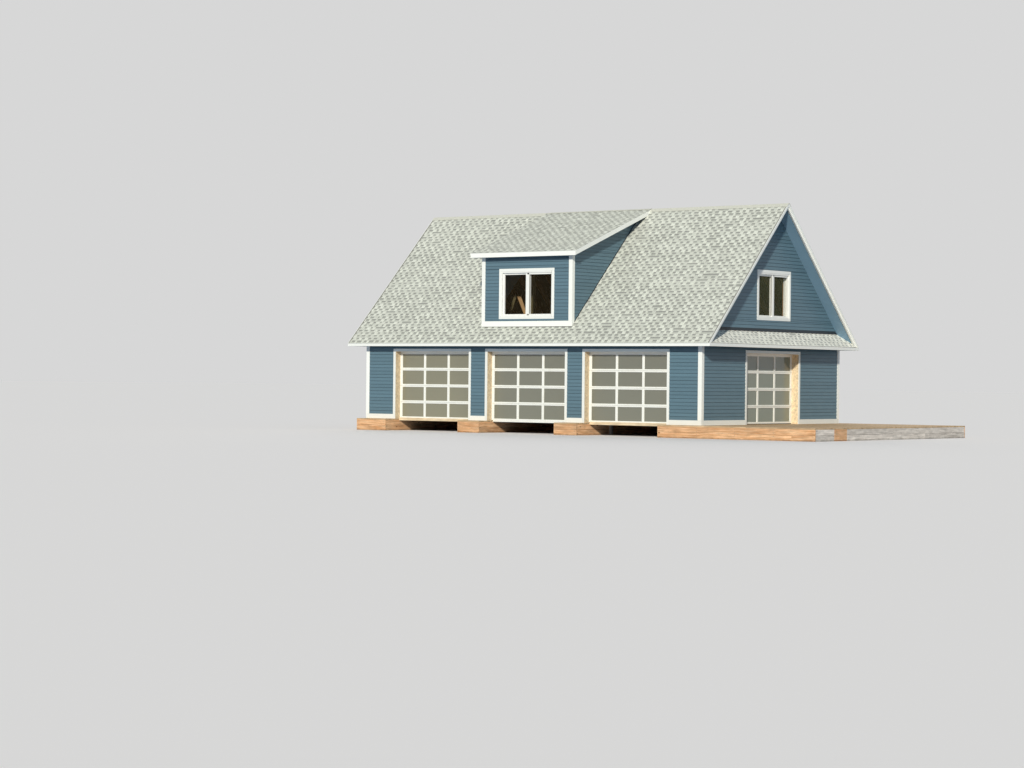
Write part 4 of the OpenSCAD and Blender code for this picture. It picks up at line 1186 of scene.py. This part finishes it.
def clear_glass(name, film_colour, thin, thick):
    """Float glass: a polished sheet, 500 mm from wave to wave, that lets the dark loft show through a film
    of dust, which covers it thinly in some places and more thickly in others"""
    material, tree = new_material(name)
    place = add_node(tree, "ShaderNodeTexCoord", output="Object")
    wave = add_node(tree, "ShaderNodeTexNoise", {"Vector": place, "Scale": 2.0})
    film = add_node(tree, "ShaderNodeMapRange", {"Value": wave, "To Min": thin, "To Max": thick})
    return finished(material, film_colour, 0.03, wave, 0.05, 0.002,
                    {"Specular IOR Level": 0.2, "Alpha": film})


white_vinyl = vinyl()
gable_glass = clear_glass("gable_glass", "#8E9068", 0.06, 0.14)
front_glass = clear_glass("dormer_glass", "#7A6A4E", 0.02, 0.06)
frame_w, sash_w, meeting_w = 0.045, 0.055, 0.050
low_member_w, window_casing_w = 0.040, 0.075
slim = 0.019
frame_back, frame_proud, lining_front = 0.12, 0.012, 0.121
sash_t, fixed_back, sliding_back, glass_back = 0.05, 0.095, 0.066, 0.076
stile_t = 0.03
gable_lining, gable_stile = 0.17, 0.13
dormer_lining, dormer_stile, dormer_meeting_w = 0.13, 0.125, 0.080


def ring(left_edge, right_edge, low, high, width, foot):
    """Four boards round a rectangle: head and foot between full-height legs"""
    return [rect(left_edge, left_edge + width, low, high), rect(right_edge - width, right_edge, low, high),
            rect(left_edge + width, right_edge - width, low, low + foot),
            rect(left_edge + width, right_edge - width, high - width, high)]


def slider(name, edges, plane, lining_back, stile_back, wide_meeting_w, pane_glass):
    """A cased two-sash slider within the rectangle of its casing, and its glass"""
    left_edge, right_edge, low, high = edges
    side_w = window_casing_w
    casing = [rect(left_edge, right_edge, high - casing_w, high),
              rect(left_edge, right_edge, low, low + side_w),
              rect(left_edge, left_edge + side_w, low + side_w + hairline, high - casing_w - hairline),
              rect(right_edge - side_w, right_edge, low + side_w + hairline,
                   high - casing_w - hairline)]
    rough = (left_edge + side_w, right_edge - side_w, low + side_w, high - casing_w)
    inner = (rough[0] + frame_w, rough[1] - frame_w + slim, rough[2] + low_member_w, rough[3] - frame_w)
    middle = (left_edge + right_edge) / 2
    frame_ring = ring(*rough, frame_w, low_member_w)
    frame_ring[1] = rect(inner[1], rough[1], rough[2], rough[3])
    fixed = ring(inner[0], middle + meeting_w, inner[2], inner[3], sash_w, low_member_w)
    sliding = ring(middle - meeting_w, inner[1], inner[2], inner[3], sash_w, low_member_w)
    stile = fixed[1] = sliding[0] = rect(middle - meeting_w, middle + wide_meeting_w, inner[2], inner[3])
    sash_edge = inner[1] - sash_w + slim
    sliding[1] = rect(sash_edge, inner[1], inner[2], inner[3])
    glass_low, glass_high = inner[2] + low_member_w, inner[3] - sash_w
    glass = [rect(inner[0] + sash_w, middle - meeting_w, glass_low, glass_high),
             rect(middle + wide_meeting_w, sash_edge, glass_low, glass_high)]
    lining = ring(*rough, frame_w + sash_w - 2 * slim, 2 * low_member_w)
    vinyl_parts = [lay("vinyl", rows, plane, thick, white_vinyl, lift=-inward, ease=rail_ease)
                   for rows, thick, inward in ((frame_ring, frame_back + frame_proud, frame_back),
                                               (fixed, sash_t, fixed_back),
                                               (sliding, sash_t, sliding_back),
                                               ([stile], stile_t, stile_back))]
    unit = join(name, [
        trim(casing, plane, 110), *vinyl_parts,
        lay("lining", lining, plane, lining_back - lining_front, trim_paint, lift=-lining_back, seed=112)])
    return unit, lay(name + "_glass", glass, plane, pane_t, pane_glass, lift=-glass_back, seed=113)


gable_edges = (win_left, win_right, win_low.z, win_high.z)
gable_sizes = (gable_lining, gable_stile, meeting_w, gable_glass)
right_window, right_glass = slider("right_gable_window", gable_edges, right, *gable_sizes)
left_window, left_glass = slider("left_gable_window", gable_edges, left, *gable_sizes)
fit(right_window, "window_frame", "gable_windows")
fit(left_window, "window_frame")
fit(join("gable_window_sheets", [right_glass, left_glass]), "clear_glass", "gable_window_glass")
dormer_edges = (glazed_left, glazed_right, window_low.z, window_high.z)
dormer_slider, dormer_glass = slider("dormer_window_unit", dormer_edges, dormer_face, dormer_lining,
                                     dormer_stile, dormer_meeting_w, front_glass)
fit(dormer_slider, "window_frame", "dormer_window")
dormer_glass.name = "dormer_window_sheets"
fit(dormer_glass, "clear_glass", "dormer_window_glass")


# White trim
# 1x boards primed and painted warm white: corner boards, a base board round the foot of the walls, fascias
# in long lengths butted end to end, and rake boards mitred at the ridge.
long_corners = [rect(house_w - corner_w, house_w + trim_t, base_top, soffit_z),
                rect(-trim_t, corner_w, base_top, soffit_z)]
short_corners = [rect(0, corner_w, base_top, soffit_z),
                 rect(house_d - corner_w, house_d, base_top, soffit_z)]
corner_parts = [trim(rows, plane, 120) for plane, rows in (
    (front, long_corners), (back, long_corners), (right, short_corners), (left, short_corners))]
fit(join("corner_boards_painted", corner_parts), "white_trim", "corner_boards")


def base_rows(width, openings, wrap):
    """The base board of one wall, stopped at the door casings"""
    rows, at = [], -wrap
    for left_edge, right_edge in openings:
        rows.append(rect(at, left_edge - casing_w, deck_top, base_top - hairline))
        at = right_edge + casing_w
    rows.append(rect(at, width + wrap, deck_top, base_top - hairline))
    dice = random.Random(7)
    return [piece for row in rows for piece in in_lengths(row, stock_length, dice)]


base_parts = [trim(base_rows(width, clears, trim_t if width == house_w else 0), plane, 121 + i)
              for i, (name, width, clears, plane) in enumerate(walls)]
fit(join("base_boards", base_parts), "white_trim", "base_trim")

trim_dice = random.Random(130)
fascia_ease = 0.0015
roof_box = (Vector((wall_low.x - gable_out, wall_low.y - eave_out, 0)),
            Vector((wall_high.x + gable_out, wall_high.y + eave_out, 0)))
for name, node, headings, end_in, seed in (("eave_fascia_boards", "eave_fascias", (0, 180), trim_t, 131),
                                           ("pent_fascia_boards", "pent_fascias", (90, 270), 0, 133)):
    parts = []
    for heading in headings:
        long_board = rect(end_in, face_width(roof_box, heading) - end_in, fascia_low, fascia_top)
        parts.append(trim(in_lengths(long_board, stock_length, trim_dice), face_plane(roof_box, heading),
                          seed + heading, lift=-trim_t, ease=fascia_ease))
    fit(join(name, parts), "white_trim", node)

# Each rake is a 1x5 set back under a ledger that carries the shingles' edge out over it. White metal caps the
# shingles' ends, with a flange on top. A grey strip inside the flange is painted shade: the dark line along
# the shingles' edge.
rake_w, ledger_w, ledger_out = 0.120, 0.066, 0.036
rake_recess = 0.004
hem_w, edge_strip_w, hem_t = 0.024, 0.060, 0.003
flange_t, flange_sink, cap_clear, foot_in = 0.0015, 0.003, 0.12, 0.002
flange_profile = band((eave_y + foot_in, eave_z), (ridge_y - cap_clear, ridge_z - cap_clear * roof_rise),
                      flange_sink, flange_t)
end_profile = [(eave_y + foot_in, fascia_top + foot_in), (eave_y + foot_in, eave_z - flange_sink),
               (ridge_y, ridge_z - flange_sink), ridge_under]
rake_shapes, strip_shapes, hem_shapes, drip_shapes = [], [], [], []
for wall_x, side in ((wall_high.x, 1), (wall_low.x, -1)):
    edge_x = wall_x + side * (gable_out - rake_recess)
    board_x = wall_x + side * (gable_out - ledger_out)
    hem_x, strip_x = edge_x + side * hem_t, edge_x + side * (hem_t - hem_w)
    for way in (1, -1):
        for width, x_out, x_in in ((ledger_w, edge_x, board_x), (rake_w, board_x, board_x - side * trim_t)):
            plumb = width / math.cos(roof_pitch)
            inner = eave_y + (plumb - shingle_plumb_t) / roof_rise
            profile = [(eave_y, fascia_top), (inner, fascia_top), (ridge_y, ridge_z - plumb), ridge_under]
            rake_shapes.append(up_the_slope(x_out, profile, way, x_in - x_out))
        hem_shapes.append(up_the_slope(hem_x, flange_profile, way, -side * hem_w))
        strip_shapes.append(up_the_slope(strip_x, flange_profile, way, -side * (edge_strip_w - hem_w)))
        hem_shapes.append(up_the_slope(hem_x, end_profile, way, -side * hem_t))
fit(prisms("rake_boards_painted", rake_shapes, trim_paint, ease=fascia_ease, seed=140), "white_trim",
    "rake_boards")
# Painted shade: a grey strip along the shingles' edge, inside the white flange
edge_shade_strip = metal("grey_edge_metal", "#85837B", 0.55, metallic=0.0)
fit(prisms("rake_edge_strips", strip_shapes, edge_shade_strip, ease=0), None)
drip_low, drip_high, drip_t = fascia_top - 0.02, fascia_top + 0.006, 0.0025
x_low, x_high = wall_low.x - gable_out, wall_high.x + gable_out
for y, step in ((eave_y, -drip_t), (2 * ridge_y - eave_y, drip_t)):
    drip_shapes.append(([(x_low, y, drip_low), (x_high, y, drip_low), (x_high, y, drip_high),
                         (x_low, y, drip_high)], (0, step, 0)))
drip_metal = metal("white_drip_edge", "#EDEFEB", 0.45, metallic=0.0)
fit(prisms("drip_edges", drip_shapes + hem_shapes, drip_metal, ease=0), None)

# The dormer's own boards
face_rows = [rect(dormer_left - trim_t, dormer_right + trim_t, dormer_base_z,
                  dormer_sill_z - hairline),
             rect(dormer_left - trim_t, dormer_left + corner_w, dormer_sill_z, under_slope_z),
             rect(dormer_right - corner_w, dormer_right + trim_t, dormer_sill_z, under_slope_z)]
side_over = 0.02
near, away, side_top = dormer_face_y, dormer_face_y + corner_w, under_slope_z + side_over
side_shapes = [([(x, near, dormer_base_z), (x, away, dormer_base_z + corner_w), (x, away, side_top),
                 (x, near, side_top)], (trim_t, 0, 0)) for x in (dormer_low.x - trim_t, dormer_high.x)]
fit(join("dormer_trim_boards", [trim(face_rows, dormer_face, 150),
                                prisms("sides", side_shapes, trim_paint, ease=trim_ease, seed=151)]),
    "white_trim", "dormer_trim")
barge_shapes = [slab((dormer_roof_low.x, dormer_roof_low.y, under_slope_z),
                     (dormer_roof_high.x, soffit_front, dormer_eave_top))]
barge_shapes += [up_the_slope(x, band(boxed_foot, ridge_under, dormer_fascia_h), 1, trim_t)
                 for x in (dormer_roof_low.x, boxed_right)]
fit(prisms("dormer_fascia_boards", barge_shapes, trim_paint, ease=fascia_ease, seed=152), "white_trim",
    "dormer_fascia")


# Soffits
# Smooth boards painted a shade deeper than the siding close the eaves and the pent roofs. Boards of a
# lighter blue close the underside of the gables' overhang, with a white return board inside each rake.
# That lighter blue is painted light, for light thrown up under the overhang from below.
for node in ("eave_soffits", "pent_soffits"):
    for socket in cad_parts[node].material_slots:
        socket.material = soffit_paint
return_w, return_gap, overhang_in = 0.072, 0.020, 0.03
foot_y = eave_y + trim_t + overhang_in
under_profile = band((foot_y, roof_z(foot_y - wall_low.y) - roof_plumb_t),
                     (ridge_y, ridge_z - roof_plumb_t), under_plumb_t)
overhang_shapes, return_shapes = [], []
for wall_x, side in ((wall_high.x, 1), (wall_low.x, -1)):
    rake_x = wall_x + side * (gable_out - ledger_out - trim_t)
    return_x = rake_x - side * return_w
    for way in (1, -1):
        overhang_shapes.append(up_the_slope(wall_x, under_profile, way,
                                            return_x - side * return_gap - wall_x))
        return_shapes.append(up_the_slope(return_x, under_profile, way, rake_x - return_x))
# The overhang boards' lighter blue is painted light from below
fit(prisms("gable_overhang_boards", overhang_shapes, overhang_paint, ease=0), "soffit")
fit(prisms("rake_return_boards", return_shapes, trim_paint, ease=0, seed=160), "white_trim")


# Studio
# A pale floor and background, a key light where the low sun stood, and a weaker one behind the house. The
# floor and the air fill the shade with faintly blue light, and are a paler grey where they show themselves.
def backdrop(tree, giving, seen):
    """One colour for the light that reaches the house, and another for what the camera and gloss see"""
    rays = add_node(tree, "ShaderNodeLightPath").node.outputs
    share = rays["Is Camera Ray"]
    for ray in ("Is Glossy Ray", "Is Transmission Ray"):
        share = add_node(tree, "ShaderNodeMath", {0: share, 1: rays[ray]}, operation="MAXIMUM")
    return blended(tree, giving, seen, share)


floor_paper, floor_tree = new_material("studio_floor")
floor_colour = backdrop(floor_tree, (0.50, 0.56, 0.66, 1), (0.985, 0.94, 0.925, 1))
floor_shade = add_node(floor_tree, "ShaderNodeBsdfDiffuse", {"Color": floor_colour})
add_node(floor_tree, "ShaderNodeOutputMaterial", {"Surface": floor_shade})
floor_mesh = bpy.data.meshes.new("studio_floor")
reach = 500.0
floor_mesh.from_pydata([(-reach, -reach, 0), (reach, -reach, 0), (reach, reach, 0), (-reach, reach, 0)],
                       [], [(0, 1, 2, 3)])
floor_mesh.materials.append(floor_paper)
put("studio_floor", floor_mesh)

world = bpy.data.worlds.new("studio")
world.use_nodes = True
air_tree = world.node_tree
air_tree.nodes.clear()
air_colour = backdrop(air_tree, (0.135, 0.19, 0.25, 1), (0.68, 0.68, 0.68, 1))
air = add_node(air_tree, "ShaderNodeBackground", {"Color": air_colour, "Strength": 1.0})
add_node(air_tree, "ShaderNodeOutputWorld", {"Surface": air})
bpy.context.scene.world = world


def sun_lamp(name, strength, spread, colour, towards):
    """A far lamp that shines from a direction, as wide as its spread in degrees"""
    lamp = bpy.data.lights.new(name, "SUN")
    lamp.energy = strength
    lamp.angle = math.radians(spread)
    lamp.color = colour
    put(name, lamp).rotation_euler = Vector(towards).to_track_quat("Z", "Y").to_euler()


# The key, and a soft, weaker lamp from behind the house, for its back and left sides
sun_lamp("key", 3.06, 2.5, (1.0, 0.955, 0.84), (0.445, -0.804, 0.394))
sun_lamp("back_light", 0.9, 40, (1.0, 0.97, 0.92), (-0.5, 0.62, 0.6))

# Camera: across the water from the right, 1.7 m up, with a long lens
camera_at = Vector((45.361, -66.479, 1.677))
yaw, pitch, roll = 0.65343, -0.0016, 0.010226
forward = Vector((-math.sin(yaw) * math.cos(pitch), math.cos(yaw) * math.cos(pitch), math.sin(pitch)))
level_right = Vector((math.cos(yaw), math.sin(yaw), 0.0))
level_up = level_right.cross(forward)
tilted_right = level_right * math.cos(roll) + level_up * math.sin(roll)
tilted_up = level_up * math.cos(roll) - level_right * math.sin(roll)
camera = bpy.data.cameras.new("camera")
camera.sensor_width = 36.0
camera.lens = 87.71
camera.clip_end = 2000.0
camera_rig = put("camera", camera)
camera_rig.matrix_world = (Matrix.Translation(camera_at)
                           @ Matrix((tilted_right, tilted_up, -forward)).transposed().to_4x4())
bpy.context.scene.camera = camera_rig
bpy.context.scene.view_settings.view_transform = "Standard"
